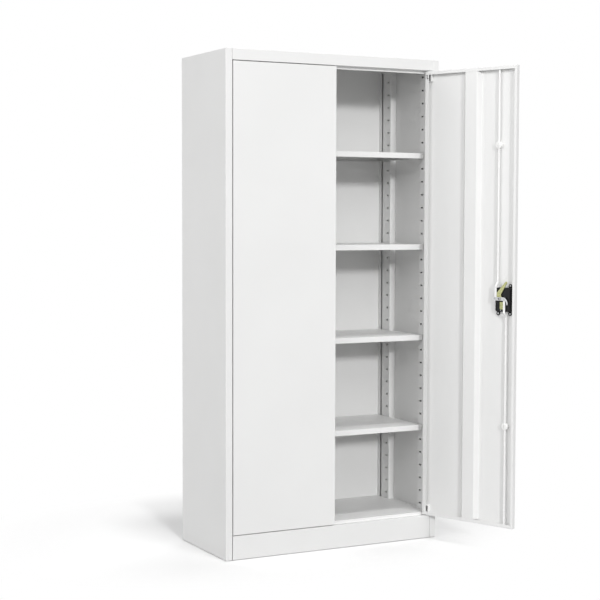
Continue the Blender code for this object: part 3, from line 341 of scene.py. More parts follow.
def sweep(path, across, half_across, half_other, power=2.0, around=20):
    """A section carried along a path: |u/a|^n + |v/b|^n = 1, u along `across`, v square to it and the path.

    `across` is one direction or one for each point; the half sizes and the power may change along the path.
    """
    count = len(path)
    heading = np.gradient(path, axis=0)
    heading /= np.linalg.norm(heading, axis=1, keepdims=True)
    across = np.broadcast_to(np.asarray(across, float), path.shape)
    other = np.cross(heading, across)
    turn = np.linspace(0, 2 * np.pi, around, endpoint=False) + np.pi / around
    bend = 2 / np.broadcast_to(power, count)[:, None]
    u = np.sign(np.cos(turn)) * np.abs(np.cos(turn)) ** bend * np.broadcast_to(half_across, count)[:, None]
    v = np.sign(np.sin(turn)) * np.abs(np.sin(turn)) ** bend * np.broadcast_to(half_other, count)[:, None]
    rings = path[:, None] + u[..., None] * across[:, None] + v[..., None] * other[:, None]
    ends = [np.repeat(path[end][None, None], around, 1) for end in (0, -1)]
    return np.concatenate([ends[0], rings, ends[1]])


along = np.linspace(0, 1, coil_points)
turn = 2 * np.pi * coil_turns * along
rise = along - end_closeness * np.sin(2 * np.pi * along) / (2 * np.pi)
outward = np.column_stack([np.cos(turn), np.sin(turn), 0 * turn])
for side in SIDES:
    node = f"{side}_hinge_spring"
    low, high = (corner.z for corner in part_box(node))
    path = coil_radius * outward
    path[:, 2] = low + wire_half + (high - low - 2 * wire_half) * rise
    grid = sweep(path, outward, wire_half, wire_half, around=10)
    coil = skin(f"{side}_coil", grid, bright_zinc, hinge_place[side])
    fit(coil, f"{side}_door", "zinc_plate", node)
    foot = hinge_place[side] @ Vector((0, 0, low))
    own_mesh(coil)

# Lock housing: a black moulded cup let into the right door, with a bezel outside and a rim round its back.
# Three screw ears lie on the door's skin, none where the upper rod runs. Its fine spark texture is left by
# the mould.
to_door = door_place["right"]
spindle = to_door.inverted() @ Vector(joints["handle_turn"]["pos_m"])
key = to_door.inverted() @ Vector(joints["key_turn"]["pos_m"])
cup_wide, cup_tall = 0.064, 0.090
cup_beside_spindle, cup_below_spindle = 0.0085, 0.0035
cup_middle = Vector((spindle.x - cup_beside_spindle, 0, spindle.z - cup_below_spindle))
cup_low = cup_middle.z - cup_tall / 2
cup_high = cup_middle.z + cup_tall / 2
# From the pocket's floor out over the bezel and back to the rim: how much wider each outline is than the cup
# on every side, its corners' radius and its depth.
cup_rings = [
    (-0.0085, 0.0060, 0.0150), (-0.0070, 0.0075, 0.0147), (-0.0062, 0.0085, 0.0137),
    (-0.0052, 0.0090, 0.0010), (-0.0050, 0.0092, -0.0008), (-0.0043, 0.0098, -0.0018),
    (-0.0030, 0.0110, -0.0023), (0.0030, 0.0098, -0.0023), (0.0044, 0.0106, -0.0019),
    (0.0050, 0.0110, -0.0011), (0.0050, 0.0110, -0.0003), (0.0, 0.0060, -0.0003),
    (-0.0006, 0.0060, 0.0172), (-0.0010, 0.0060, 0.0184), (-0.0022, 0.0052, 0.0190),
    (-0.0042, 0.0045, 0.0190), (-0.0050, 0.0040, 0.0178)
]
spindle_bore, key_bore = 0.0044, 0.0064
bore_front, bore_back = 0.010, 0.030
ear_wide, ear_tall = 0.014, 0.021
ear_corner, ear_ease = 0.0069, 0.0005
ear_front, ear_back, ear_drop = 0.0011, 0.0036, 0.007
ear_offsets = (-0.0242, 0.0277)
lower_ears = [Vector((cup_middle.x + offset, 0, cup_low - ear_drop)) for offset in ear_offsets]
upper_ears = [Vector((cup_middle.x + ear_offsets[0], 0, cup_high + ear_drop))]


def rounded_loop(wide, tall, radius, steps=7):
    """A rectangle's outline with round corners: a quarter circle about each corner's own centre."""
    corner = np.array([(1, 1), (-1, 1), (-1, -1), (1, -1)]) * (np.array([wide, tall]) / 2 - radius)
    angle = np.radians(np.linspace(0, 90, steps)) + np.pi / 2 * np.arange(4)[:, None]
    return (corner[:, None] + radius * np.stack([np.cos(angle), np.sin(angle)], -1)).reshape(-1, 2)


def layers(outlines, depths):
    """Outlines across the door laid at depths behind its front face."""
    flat = np.stack(outlines)
    depth = np.broadcast_to(np.asarray(depths, float)[:, None], flat.shape[:2])
    return np.stack([flat[..., 0], depth, flat[..., 1]], axis=-1)


def inset(outline, amount):
    """An outline moved inward along its own normals."""
    along = np.roll(outline, -1, 0) - np.roll(outline, 1, 0)
    normal = np.column_stack([along[:, 1], -along[:, 0]]) / np.linalg.norm(along, axis=1, keepdims=True)
    return outline - amount * normal


def blank(outline, low, high, edge=0.0003):
    """A stamped plate: an outline between two depths, its edges eased by `edge`, closed over its middle."""
    middle = np.broadcast_to(outline.mean(0), outline.shape)
    eased = inset(outline, edge)
    outlines = [middle, eased, outline, outline, eased, middle]
    return layers(outlines, [low, low, low + edge, high - edge, high, high])


def cylinder(radius, start, end):
    """Profile of a plain round bar or bore between two heights or depths."""
    return [(0, start), (radius, start), (radius, end), (0, end)]


def at(x, z):
    """Place on the right door, from the shut door's x and height."""
    return to_door @ Matrix.Translation((x, 0, z))


def plastic(name, low, high, dullness, grain_tall):
    """Moulded plastic: a tone that barely drifts, and a spark grain of two sizes."""
    tone_lumps, gloss_lumps = 90.0, 160.0
    coarse_lumps, fine_lumps = 1400.0, 4200.0
    gloss_drift, shine = 0.05, 0.25
    material, tree, shader, coords = new_material(name)
    colour = tint(tree, between(tree, noise(tree, coords, tone_lumps)), low, high)
    patches = noise(tree, coords, gloss_lumps)
    roughness = between(tree, patches, dullness - gloss_drift, dullness + gloss_drift)
    coarse = bump(tree, noise(tree, coords, coarse_lumps, detail=1.0), grain_tall)
    fine = bump(tree, noise(tree, coords, fine_lumps, detail=1.0), grain_tall / 2, coarse)
    surface(tree, shader, colour, roughness, fine)
    shader.inputs["Specular IOR Level"].default_value = shine
    return material


at_spindle = at(spindle.x, spindle.z)
at_key = at(key.x, key.z)
black_plastic = plastic("black_plastic", (0.006, 0.006, 0.007), (0.010, 0.010, 0.011), 0.55, 0.00003)
outlines = []
for grow, corner, depth in cup_rings:
    outlines.append(rounded_loop(cup_wide + 2 * grow, cup_tall + 2 * grow, corner))
depths = [depth for grow, corner, depth in cup_rings]
point = 0 * outlines[0]
cup = layers([point, *outlines, point], [depths[0], *depths, depths[-1]])
housing = skin("housing", cup, black_plastic, at(cup_middle.x, cup_middle.z))
ears = []
for ear in lower_ears + upper_ears:
    tab = blank(rounded_loop(ear_wide, ear_tall, ear_corner), ear_front, ear_back, ear_ease)
    towards_cup = math.copysign((ear_tall - ear_wide) / 2, cup_middle.z - ear.z)
    ears.append(skin("ear", tab, black_plastic, at(ear.x, ear.z + towards_cup)))
combine(housing, "UNION", *ears)
bores = []
for place, radius in ((at_spindle, spindle_bore), (at_key, key_bore)):
    bores.append(skin("bore", lathe(cylinder(radius, bore_front, bore_back), "Y"), black_plastic, place))
combine(housing, "DIFFERENCE", *bores)
fit(housing, "right_door", "black_plastic", "lock_housing")

# Ear collars: rings round the two lower screw heads, nearly as high as the heads.
# Black plastic, moulded with the housing's ears.
ring_inner, ring_outer = 0.0046, 0.0070
ring_foot, ring_shoulder, ring_edge = 0.0030, 0.0050, 0.0006
ring_profile = [
    (ring_inner, ring_foot), (ring_outer, ring_foot),
    *arc((ring_outer - ring_edge, ring_shoulder), ring_edge, 0, 90, 4),
    *arc((ring_inner + ring_edge, ring_shoulder), ring_edge, 90, 180, 4), (ring_inner, ring_foot)
]
for number, ear in enumerate(lower_ears, 1):
    ring = skin(f"ear_collar_{number}", lathe(ring_profile, "Y"), black_plastic, at(ear.x, ear.z))
    fit(ring, "right_door", "black_plastic")

# Housing screws: steel screws with pan heads and a cross recess, cold headed and zinc plated.
# They are driven through the ears into the door's skin.
screw_radius, screw_end = 0.0018, 0.0012
screw_head_radius, screw_head_dome = 0.0040, 0.0014
screw_head_seat, screw_head_side, screw_head_top = 0.0039, 0.0045, 0.0060
screw_ease_wide, screw_ease_deep = 0.0002, 0.0003
screw_profile = [
    *cylinder(screw_radius, screw_end, screw_head_seat)[:3],
    (screw_head_radius - screw_ease_wide, screw_head_seat),
    (screw_head_radius, screw_head_seat + screw_ease_deep),
    *arc((screw_head_radius - screw_head_dome, screw_head_side), screw_head_dome, 0, 80), (0, screw_head_top)
]
cross_wide, cross_long = 0.0011, 0.0044
cross_floor, cross_top = 0.0047, 0.0064
floor_wide_share, floor_tall_share, cross_corner_share = 0.7, 0.6, 0.2


def cross_recess(place):
    """Two crossing slots that narrow towards their floor, as a pair of cutters."""
    cutters = []
    for wide, tall in ((cross_wide, cross_long), (cross_long, cross_wide)):
        sizes = [(0.0, 0.0), (wide * floor_wide_share, tall * floor_tall_share), (wide, tall), (0.0, 0.0)]
        loops = [rounded_loop(*size, min(size) * cross_corner_share, 3) for size in sizes]
        cutter = layers(loops, [cross_floor, cross_floor, cross_top, cross_top])
        cutters.append(skin("recess", cutter, bright_zinc, place))
    return cutters


for number, ear in enumerate(lower_ears + upper_ears, 1):
    place = at(ear.x, ear.z)
    screw = skin(f"ear_screw_{number}", lathe(screw_profile, "Y"), bright_zinc, place)
    combine(screw, "DIFFERENCE", *cross_recess(place))
    # The upper screw has no CAD node to stand for.
    replaced = [f"lock_screw_{number}"] if number <= len(lower_ears) else []
    fit(screw, "right_door", "zinc_plate", *replaced)

# Turn handle: a moulded grip that stands in the pocket and is pinched to turn, waisted and crowned.
# Black plastic, in one with its round journal, its square shank and its threaded tip.
grip_points, grip_power, grip_depth = 33, 3.6, 0.0059
grip_half_long, grip_half_wide, grip_half_deep = 0.017, 0.0065, 0.0078
end_power, end_least = 9, 0.02
waist, crown = 0.80, 0.90
boss_radius, boss_front, boss_back = 0.0082, 0.006, 0.0136
boss_ease_wide, boss_ease_deep = 0.0007, 0.0008
journal_radius, journal_back = 0.004, 0.019
shank_wide, shank_corner = 0.0056, 0.0006
shank_front, shank_back = 0.016, 0.0271
thread_radius, thread_chamfer = 0.0025, 0.0006
thread_front, thread_back = 0.024, 0.0317
reach = np.linspace(-1, 1, grip_points)
ends = np.sqrt(np.clip(1 - np.abs(reach) ** end_power, end_least, 1))
path = np.column_stack([grip_half_long * reach, np.full(grip_points, grip_depth), 0 * reach])
half_wide = grip_half_wide * ends * (waist + (1 - waist) * reach ** 2)
half_deep = grip_half_deep * (crown + (1 - crown) * ends)
grip_grid = sweep(path, (0, 1, 0), half_deep, half_wide, grip_power, around=40)
stem_profile = [
    (0, boss_front), (boss_radius, boss_front), (boss_radius, boss_back - boss_ease_deep),
    (boss_radius - boss_ease_wide, boss_back), (journal_radius, boss_back), (journal_radius, journal_back),
    (0, journal_back)
]
shank_grid = blank(rounded_loop(shank_wide, shank_wide, shank_corner, 3), shank_front, shank_back)
thread_profile = [
    (0, thread_front), (thread_radius, thread_front), (thread_radius, thread_back - thread_chamfer),
    (thread_radius - thread_chamfer, thread_back), (0, thread_back)
]
grip = skin("grip", grip_grid, black_plastic, at_spindle)
stem = skin("stem", lathe(stem_profile, "Y"), black_plastic, at_spindle)
shank = skin("shank", shank_grid, black_plastic, at_spindle)
tip = skin("tip", lathe(thread_profile, "Y"), black_plastic, at_spindle)
combine(grip, "UNION", stem, shank, tip)
fit(grip, "handle", "black_plastic", "turn_handle")

# Key plug: a nickel plated flange in the pocket's floor, slotted for a flat key, on a turned barrel whose end
# is yellow passivated like the plates behind the housing.
yellow_zinc = zinc("yellow_zinc", (0.24, 0.25, 0.11), (0.40, 0.40, 0.22))
flange_radius, flange_front, flange_back = 0.0080, 0.0127, 0.0147
plug_radius, plug_back = 0.0057, 0.0207
barrel_radius, barrel_front, barrel_back = 0.0060, 0.0195, 0.0224
barrel_chamfer = 0.0005
# The flange's rounded edge, and the keyway from its mouth to its floor.
flange_edge = [(0.0066, flange_front), (0.0076, 0.0130), (flange_radius, 0.0136)]
keyway_sizes = [(0.0, 0.0), (0.0030, 0.0088), (0.0022, 0.0080), (0.0022, 0.0080), (0.0, 0.0)]
keyway_depths = [0.0124, 0.0124, 0.0131, 0.0204, 0.0204]
keyway_corner_share = 0.18


def turned_metal(name, low, high, spot):
    """Nickel plate with the fine rings that the lathe left about a spot, tall by a share of their pitch."""
    ring_pitch, ring_share = 0.00012, 0.04
    tone_lumps, gloss_lumps = 300.0, 700.0
    shiniest, dullest = 0.16, 0.28
    material, tree, shader, coords = new_material(name)
    away = tree.nodes.new("ShaderNodeVectorMath")
    away.operation = "DISTANCE"
    away.inputs[1].default_value = spot
    tree.links.new(coords, away.inputs[0])
    rings = tree.nodes.new("ShaderNodeMath")
    rings.operation = "PINGPONG"
    rings.inputs[1].default_value = ring_pitch
    tree.links.new(away.outputs["Value"], rings.inputs[0])
    colour = tint(tree, between(tree, noise(tree, coords, tone_lumps)), low, high)
    roughness = between(tree, noise(tree, coords, gloss_lumps), shiniest, dullest)
    surface(tree, shader, colour, roughness, bump(tree, rings.outputs[0], ring_share))
    shader.inputs["Metallic"].default_value = 1.0
    return material


flange_middle = to_door @ Vector((key.x, flange_front, key.z))
nickel = turned_metal("nickel", (0.64, 0.62, 0.57), (0.74, 0.72, 0.68), flange_middle)
plug_profile = [
    (0, flange_front), *flange_edge, (flange_radius, flange_back),
    (plug_radius, flange_back), (plug_radius, plug_back), (0, plug_back)
]
barrel_profile = [
    (0, barrel_front), (barrel_radius, barrel_front), (barrel_radius, barrel_back - barrel_chamfer),
    (barrel_radius - barrel_chamfer, barrel_back), (0, barrel_back)
]
keyway_loops = [rounded_loop(*size, keyway_corner_share * min(size), 3) for size in keyway_sizes]
plug = skin("plug", lathe(plug_profile, "Y"), nickel, at_key)
combine(plug, "UNION", skin("barrel", lathe(barrel_profile, "Y"), yellow_zinc, at_key))
# The keyway's walls take the black plastic: painted shade that darkens the slit.
combine(plug, "DIFFERENCE", skin("keyway", layers(keyway_loops, keyway_depths), black_plastic, at_key))
fit(plug, "key", "nickel_plate", "key_plug")

# Key clamp: a plate behind the housing, bored for the key barrel that it holds.
# Stamped from 3 mm steel strip, yellow passivated zinc.
plate_front, plate_back = 0.0193, 0.0223
through_front, through_back = 0.018, 0.024
clamp_wide, clamp_tall = 0.0205, 0.028
clamp_corner, clamp_ease = 0.0025, 0.0006
clamp_grid = blank(rounded_loop(clamp_wide, clamp_tall, clamp_corner), plate_front, plate_back, clamp_ease)
clamp_bore = lathe(cylinder(key_bore, through_front, through_back), "Y")
clamp = skin("clamp", clamp_grid, yellow_zinc, at_key)
combine(clamp, "DIFFERENCE", skin("bore", clamp_bore, yellow_zinc, at_key))
fit(clamp, "right_door", "yellow_zinc_plate", "key_clamp")

# Housing rivet: a small domed steel head in the back of the housing, under the clamp.
# Zinc plated and set from behind.
rivet_radius, rivet_dome = 0.0022, 0.0014
rivet_foot, rivet_shoulder = 0.0170, 0.0180
rivet_across, rivet_up = 0.008, 0.0060
rivet_profile = [
    *cylinder(rivet_radius, rivet_foot, rivet_shoulder)[:3],
    *arc((rivet_radius - rivet_dome, rivet_shoulder), rivet_dome, 0, 90), (0, rivet_shoulder + rivet_dome)
]
rivet_place = at(cup_middle.x + rivet_across, cup_low + rivet_up)
rivet = skin("housing_rivet", lathe(rivet_profile, "Y"), bright_zinc, rivet_place)
fit(rivet, "right_door", "zinc_plate")

# Latch lever: a tapered, cranked arm on the square shank that swings out behind the left door's edge as the
# handle turns. Stamped from 3 mm steel strip, yellow passivated zinc.
lever_heel, lever_heel_radius = (0.0075, 0.0165), 0.0095
lever_tip, lever_tip_radius = (-0.0256, 0.0603), 0.0045
hub_radius, hub_end_radius, hub_sunk = 0.0080, 0.0093, 0.00005
lever_ease = 0.0005
square_wide, square_corner = 0.0062, 0.0005


def link_outline(near, near_radius, far, far_radius, count=16):
    """Two round ends joined by their common tangents, counter-clockwise."""
    reach = np.subtract(far, near)
    heading = np.arctan2(reach[1], reach[0])
    half = np.arccos((near_radius - far_radius) / np.linalg.norm(reach))
    tip = np.linspace(heading - half, heading + half, count)
    back = np.linspace(heading + half, heading + 2 * np.pi - half, count)
    return np.concatenate([
        far + far_radius * np.column_stack([np.cos(tip), np.sin(tip)]),
        near + near_radius * np.column_stack([np.cos(back), np.sin(back)])
    ])


arm_outline = link_outline(lever_heel, lever_heel_radius, lever_tip, lever_tip_radius)
hub_outline = link_outline((0, 0), hub_radius, lever_heel, hub_end_radius)
square_loop = rounded_loop(square_wide, square_wide, square_corner, 3)
arm = blank(arm_outline, plate_front, plate_back, lever_ease)
hub = blank(hub_outline, plate_front + hub_sunk, plate_back - hub_sunk, lever_ease)
square = blank(square_loop, through_front, through_back)
lever = skin("lever", arm, yellow_zinc, at_spindle)
combine(lever, "UNION", skin("hub", hub, yellow_zinc, at_spindle))
combine(lever, "DIFFERENCE", skin("square", square, yellow_zinc, at_spindle))
fit(lever, "handle", "yellow_zinc_plate", "latch_lever")

# Rocker plate: a flat bar on the shank with a crank pin riveted in each end and a tail bent down beside the
# lower rod. Stamped from 2.5 mm steel strip, bright zinc.
crank = 0.019
rocker_front, rocker_back, rocker_ease = 0.0246, 0.0271, 0.0004
bar_half, bar_radius = 0.0187, 0.0063
tail_root, tail_bend, tail_end = (-0.0190, 0.0), (-0.0320, -0.0020), (-0.0340, -0.0225)
tail_points, tail_depth, tail_power = 24, 0.02585, 5.0
tail_half_thick, tail_root_half, tail_taper = 0.00120, 0.0045, 0.0019
tail_rounding = np.array([0.97, 0.90, 0.74, 0.40])
crank_pin_radius, crank_pin_front, crank_pin_back = 0.002, 0.0227, 0.0262
crank_head_radius, crank_head_edge = 0.0030, 0.0008
crank_head_side, crank_head_shoulder, crank_head_floor = 0.0274, 0.0275, 0.0279
hole_radius, hole_offset = 0.0015, 0.009
hole_front, hole_back = 0.022, 0.030
dimple_radius, dimple_floor = 0.0012, 0.0268
rocker_square_front, rocker_square_back = 0.023, 0.029
bar_outline = link_outline((-bar_half, 0), bar_radius, (bar_half, 0), bar_radius)
bar = blank(bar_outline, rocker_front, rocker_back, rocker_ease)
# The tail follows the curve (1-t)^2 root + 2t(1-t) bend + t^2 end, and narrows to a round tip.
along = np.linspace(0, 1, tail_points)[:, None]
tail_flat = (1 - along) ** 2 * tail_root + 2 * along * (1 - along) * tail_bend + along ** 2 * tail_end
tail_path = np.column_stack([tail_flat[:, 0], np.full(tail_points, tail_depth), tail_flat[:, 1]])
tail_half_wide = tail_root_half - tail_taper * along[:, 0]
tail_half_wide[-len(tail_rounding):] *= tail_rounding
tail_grid = sweep(tail_path, (0, 1, 0), tail_half_thick, tail_half_wide, tail_power, around=28)
crank_head_profile = [
    (0, crank_pin_back), (crank_head_radius, crank_pin_back), (crank_head_radius, crank_head_side),
    *arc((crank_head_radius - crank_head_edge, crank_head_shoulder), crank_head_edge, 0, 90, 4),
    (dimple_radius, crank_head_floor), (0, crank_head_floor)
]
crank_pin = lathe(cylinder(crank_pin_radius, crank_pin_front, crank_pin_back), "Y", around=24)
crank_head = lathe(crank_head_profile, "Y", around=24)
hole = lathe(cylinder(hole_radius, hole_front, hole_back), "Y", around=20)
dimple = lathe(cylinder(dimple_radius, dimple_floor, hole_back), "Y", around=20)
rocker_square = blank(square_loop, rocker_square_front, rocker_square_back)
rocker = skin("rocker", bar, bright_zinc, at_spindle)
added = [skin("tail", tail_grid, bright_zinc, at_spindle)]
holes = [skin("square", rocker_square, bright_zinc, at_spindle)]
for sign in SIDES.values():
    at_crank = at(spindle.x + sign * crank, spindle.z)
    added.append(skin("crank_pin", crank_pin, bright_zinc, at_crank))
    added.append(skin("pin_head", crank_head, bright_zinc, at_crank))
    holes.append(skin("hole", hole, bright_zinc, at(spindle.x + sign * hole_offset, spindle.z)))
    holes.append(skin("dimple", dimple, bright_zinc, at_crank))
combine(rocker, "UNION", *added)
combine(rocker, "DIFFERENCE", *holes)
fit(rocker, "handle", "zinc_plate", "rocker_plate")

# Spindle nut: a steel hexagon nut with chamfered corners, zinc plated.
# It is screwed on the handle's threaded tip and holds the rocker.
nut_radius, nut_corner = 0.0055, 2.0
nut_bore, nut_bore_front, nut_bore_back = 0.0029, 0.026, 0.033
# How wide each outline is as a share of the nut, and its depth.
nut_rings = [(0.0, 0.0274), (0.90, 0.0274), (1.0, 0.0280), (1.0, 0.0308), (0.90, 0.0314), (0.0, 0.0314)]
hexagon = np.radians(60 * np.arange(6))[:, None] + np.radians([-nut_corner, 0.0, nut_corner])
nut_outline = nut_radius * np.stack([np.cos(hexagon), np.sin(hexagon)], -1).reshape(-1, 2)
nut_grid = layers([share * nut_outline for share, depth in nut_rings], [depth for share, depth in nut_rings])
nut_cut = lathe(cylinder(nut_bore, nut_bore_front, nut_bore_back), "Y", around=24)
nut = skin("nut", nut_grid, bright_zinc, at_spindle)
combine(nut, "DIFFERENCE", skin("bore", nut_cut, bright_zinc, at_spindle))
fit(nut, "handle", "zinc_plate", "spindle_nut")

# Lock rods: 8 mm steel bars that run up and down the door, cranked over the housing and flattened to a blade
# whose foot is slotted for the crank pin. They are coated white before fitting, so the slot and the bend are
# white too.
RODS = {"upper": 1, "lower": -1}
# The rods' white is paler than the doors': a painted highlight along the bars. Their coat is also glossier.
rod_coat_painted_highlight = powder_coat("rod_coat_painted_highlight", wave_tall=0.0, white=0.875, dullest=0.30)
rod_radius, rod_tip_radius, rod_depth = 0.004, 0.0028, 0.010
tip_steps = np.array([0.0, 0.0004, 0.0012, 0.0024])
blade_half_wide, blade_half_thick = 0.0045, 0.00075
blade_depth, blade_power = 0.02345, 10.0
jog_clearance, jog_long, jog_early = 0.004, 0.016, 0.002
jog_blend, blade_blend, foot_blend = 0.020, 0.010, 0.0030
foot_above_pin, foot_past_pin, foot_margin = 0.0075, 0.0051, 0.0001
# Where the rings of the bar, the jog and the blade begin and end, and how many each has.
bar_past_tip, bar_before_jog, bar_points = 0.010, 0.004, 12
jog_past_cup, jog_points = 0.010, 22
blade_past_cup, blade_points = 0.012, 26
slot_extra, slot_tall, slot_corner = 0.0048, 0.0058, 0.0028
slot_front, slot_back = 0.020, 0.0245
handle_turn = math.radians(50)
swing = crank * (1 - math.cos(handle_turn))


def eased(distance, length):
    """0 up to no distance, 1 past the length, and 3t^2 - 2t^3 between."""
    share = np.clip(distance / length, 0, 1)
    return share * share * (3 - 2 * share)


for label, up in RODS.items():
    node = f"{label}_lock_rod"
    low, high = (corner.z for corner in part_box(node))
    far = high if up > 0 else low
    near = (cup_high if up > 0 else cup_low) + up * jog_clearance
    bar_end = near + up * jog_long
    end = spindle.z - up * foot_past_pin
    rod_x = spindle.x + up * crank
    heights = np.concatenate([
        far - up * tip_steps,
        np.linspace(far - up * bar_past_tip, bar_end + up * bar_before_jog, bar_points),
        np.linspace(bar_end, near - up * jog_past_cup, jog_points),
        np.linspace(near - up * blade_past_cup, end, blade_points)
    ])
    blend = eased((bar_end + up * jog_early - heights) * up, jog_blend)
    flat = eased((near + up * jog_early - heights) * up, blade_blend)
    foot = eased((spindle.z + up * foot_above_pin - heights) * up, foot_blend)
    tip_share = np.clip((far - heights) * up / tip_steps[-1], 0, 1)
    round_half = rod_tip_radius + (rod_radius - rod_tip_radius) * np.sqrt(1 - (1 - tip_share) ** 2)
    foot_extra = foot * (swing + foot_margin) / 2
    half_wide = round_half * (1 - flat) + blade_half_wide * flat + foot_extra
    half_thick = round_half * (1 - flat) + blade_half_thick * flat
    rod_depths = rod_depth + (blade_depth - rod_depth) * blend
    path = np.column_stack([np.full(len(heights), rod_x), rod_depths, heights])
    grid = sweep(path, (1, 0, 0), half_wide, half_thick, 2 + (blade_power - 2) * flat, around=28)
    shift = -up * foot_extra
    grid[..., 0] += np.concatenate([shift[:1], shift, shift[-1:]])[:, None]
    rod = skin(f"{label}_rod", grid, rod_coat_painted_highlight, to_door)
    slot = blank(rounded_loop(swing + slot_extra, slot_tall, slot_corner), slot_front, slot_back)
    slot_place = at(rod_x - up * swing / 2, spindle.z)
    combine(rod, "DIFFERENCE", skin("slot", slot, rod_coat_painted_highlight, slot_place))
    fit(rod, f"{label}_rod", "white_paint", node)

# Rod guides: white moulded buttons, domed and with a parting slit.
# They are fixed to the door's skin and bored for the rods that they hold.
white_plastic = plastic("white_plastic", (0.87, 0.87, 0.86), (0.90, 0.90, 0.89), 0.34, 0.000008)
guide_radius, guide_front, guide_top = 0.0130, 0.0011, 0.0168
guide_shoulder, guide_edge, guide_edge_depth = 0.0138, 0.0024, 0.0140
guide_bore, guide_bore_half = 0.0044, 0.02
slit_points, slit_turn, slit_power = 25, math.radians(50), 4.0
slit_radius, slit_aside, slit_depth = 0.0090, 0.0075, 0.0165
slit_half_deep, slit_half_wide = 0.0035, 0.0013
guide_profile = [
    *cylinder(guide_radius, guide_front, guide_shoulder)[:3],
    *arc((guide_radius - guide_edge, guide_edge_depth), guide_edge, 0, 80, 7), (0, guide_top)
]
turn = np.linspace(-slit_turn, slit_turn, slit_points)
slit_across = slit_radius * np.cos(turn) - slit_aside
slit_path = np.column_stack([slit_across, np.full(slit_points, slit_depth), slit_radius * np.sin(turn)])
slit_grid = sweep(slit_path, (0, 1, 0), slit_half_deep, slit_half_wide, slit_power, around=16)
bore_grid = lathe(cylinder(guide_bore, -guide_bore_half, guide_bore_half), around=28)
for label, up in RODS.items():
    node = f"{label}_rod_guide"
    low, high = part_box(node)
    height = (low.z + high.z) / 2
    rod_x = spindle.x + up * crank
    place = at(rod_x, height)
    bore_place = to_door @ Matrix.Translation((rod_x, rod_depth, height))
    guide = skin(f"{label}_guide", lathe(guide_profile, "Y", around=56), white_plastic, place)
    bore = skin("bore", bore_grid, white_plastic, bore_place)
    slit = skin("slit", slit_grid, white_plastic, place)
    combine(guide, "DIFFERENCE", bore, slit)
    fit(guide, "right_door", "white_plastic", node)

# Studio: a plain white room with a lamp and a softbox in front, a broad lamp on the left, one overhead and a
# weak one behind. The front lamp is kept out of reflections, where it would draw stripes along folded edges.
# The floor keeps the cabinet's shadow in an oval about its foot and shows white beyond it.
lens = 87.79
camera_spot = (-2.65, -4.786, 1.252)
yaw, pitch, roll = (math.radians(angle) for angle in (27.648, -3.285, 0.136))
camera_data = bpy.data.cameras.new("camera")
camera_data.lens = lens
camera = bpy.data.objects.new("camera", camera_data)
bpy.context.scene.collection.objects.link(camera)
camera.matrix_world = (
    Matrix.Translation(camera_spot)
    @ Matrix.Rotation(-yaw, 4, "Z")
    @ Matrix.Rotation(math.pi / 2 + pitch, 4, "X")
    @ Matrix.Rotation(roll, 4, "Z")
)
bpy.context.scene.camera = camera
bpy.context.scene.view_settings.view_transform = "Standard"

# Name, direction towards the lamp, strength and spread in degrees.
lamps = [
    ("front_lamp", (-0.14, -0.92, 0.26), 1.22, 6),
    ("left_lamp", (-0.95, -0.10, 0.30), 1.10, 60),
    ("overhead_lamp", (0.032, -0.243, 0.97), 0.78, 9),
    ("rear_lamp", (0.60, 0.66, 0.45), 0.85, 40),
]
for name, towards, energy, spread in lamps:
    sun = bpy.data.lights.new(name, "SUN")
    sun.energy = energy
    sun.angle = math.radians(spread)
    lamp = bpy.data.objects.new(name, sun)
    lamp.rotation_euler = Vector(towards).to_track_quat("Z", "Y").to_euler()
    lamp.visible_glossy = name != "front_lamp"
    bpy.context.scene.collection.objects.link(lamp)

softbox_spot, softbox_aim = Vector((-1.0, -2.5, 2.7)), Vector((0, 0, 1.4))
softbox_watts, softbox_wide = 16, 1.2
softbox_data = bpy.data.lights.new("softbox", "AREA")
softbox_data.energy = softbox_watts
softbox_data.size = softbox_wide
softbox = bpy.data.objects.new("softbox", softbox_data)
softbox.location = softbox_spot
softbox.rotation_euler = (softbox_aim - softbox_spot).to_track_quat("-Z", "Y").to_euler()
softbox.visible_camera = False
bpy.context.scene.collection.objects.link(softbox)


def in_view(tree):
    """1 for what is seen, directly, mirrored or through glass, and 0 for what only lights the object."""
    rays = tree.nodes.new("ShaderNodeLightPath")
    mirrored = tree.nodes.new("ShaderNodeMath")
    mirrored.operation = "MAXIMUM"
    tree.links.new(rays.outputs["Is Camera Ray"], mirrored.inputs[0])
    tree.links.new(rays.outputs["Is Glossy Ray"], mirrored.inputs[1])
    through = tree.nodes.new("ShaderNodeMath")
    through.operation = "MAXIMUM"
    tree.links.new(mirrored.outputs[0], through.inputs[0])
    tree.links.new(rays.outputs["Is Transmission Ray"], through.inputs[1])
    return through.outputs[0]


room_light, room_seen = 0.36, 1.0
room = bpy.data.worlds.new("room")
room.use_nodes = True
bpy.context.scene.world = room
tree = room.node_tree
strength = tree.nodes.new("ShaderNodeMapRange")
strength.inputs["To Min"].default_value = room_light
strength.inputs["To Max"].default_value = room_seen
tree.links.new(in_view(tree), strength.inputs["Value"])
tree.links.new(strength.outputs["Result"], tree.nodes["Background"].inputs["Strength"])
tree.nodes["Background"].inputs["Color"].default_value = (1, 1, 1, 1)

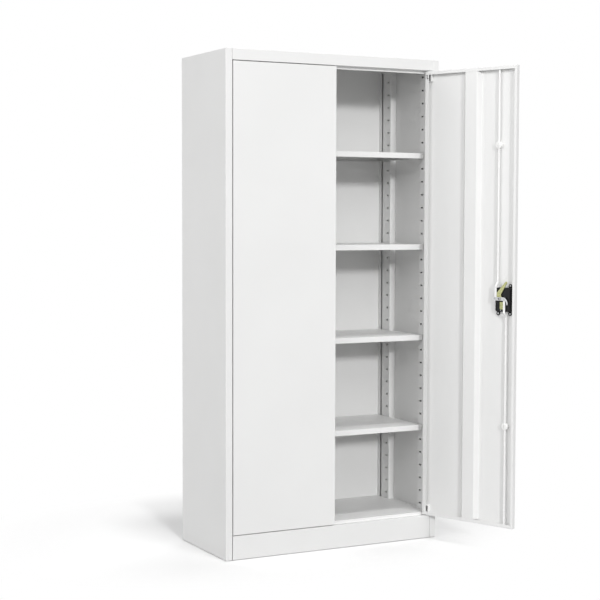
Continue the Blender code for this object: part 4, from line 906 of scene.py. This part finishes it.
# The floor lies a hair under the cabinet's foot, which draws a thin dark line along it.
floor_radius, floor_height, floor_points = 6.0, -0.0016, 96
floor_grey, floor_white = (0.45, 0.45, 0.45), (0.97, 0.97, 0.97)
floor_dullness = 0.8
shade_middle, shade_reach = (-0.15, 0.45, 0.0), (0.75, 0.55, 1.0)
white_from, white_to = 1.0, 1.6
around = np.linspace(0, 2 * np.pi, floor_points, endpoint=False)
rim = floor_radius * np.column_stack([np.cos(around), np.sin(around), 0 * around])
rim[:, 2] = floor_height
floor_mesh = bpy.data.meshes.new("floor")
floor_mesh.from_pydata(rim.tolist(), [], [np.arange(floor_points).tolist()])
floor = bpy.data.objects.new("floor", floor_mesh)
bpy.context.scene.collection.objects.link(floor)
material, tree, shader, ground = new_material("floor")
view = in_view(tree)
tree.links.new(tint(tree, view, floor_grey, floor_white), shader.inputs["Base Color"])
shader.inputs["Roughness"].default_value = floor_dullness
shader.inputs["Specular IOR Level"].default_value = 0.0
oval = tree.nodes.new("ShaderNodeMapping")
oval.vector_type = "TEXTURE"
oval.inputs["Location"].default_value = shade_middle
oval.inputs["Scale"].default_value = shade_reach
tree.links.new(ground, oval.inputs["Vector"])
away = tree.nodes.new("ShaderNodeVectorMath")
away.operation = "LENGTH"
tree.links.new(oval.outputs["Vector"], away.inputs[0])
fade = tree.nodes.new("ShaderNodeMapRange")
fade.interpolation_type = "SMOOTHSTEP"
fade.inputs["From Min"].default_value = white_from
fade.inputs["From Max"].default_value = white_to
tree.links.new(away.outputs["Value"], fade.inputs["Value"])
share = tree.nodes.new("ShaderNodeMath")
share.operation = "MULTIPLY"
tree.links.new(fade.outputs["Result"], share.inputs[0])
tree.links.new(view, share.inputs[1])
white = tree.nodes.new("ShaderNodeEmission")
mix = tree.nodes.new("ShaderNodeMixShader")
tree.links.new(share.outputs[0], mix.inputs[0])
tree.links.new(shader.outputs[0], mix.inputs[1])
tree.links.new(white.outputs[0], mix.inputs[2])
tree.links.new(mix.outputs[0], tree.nodes["Material Output"].inputs["Surface"])
floor_mesh.materials.append(material)
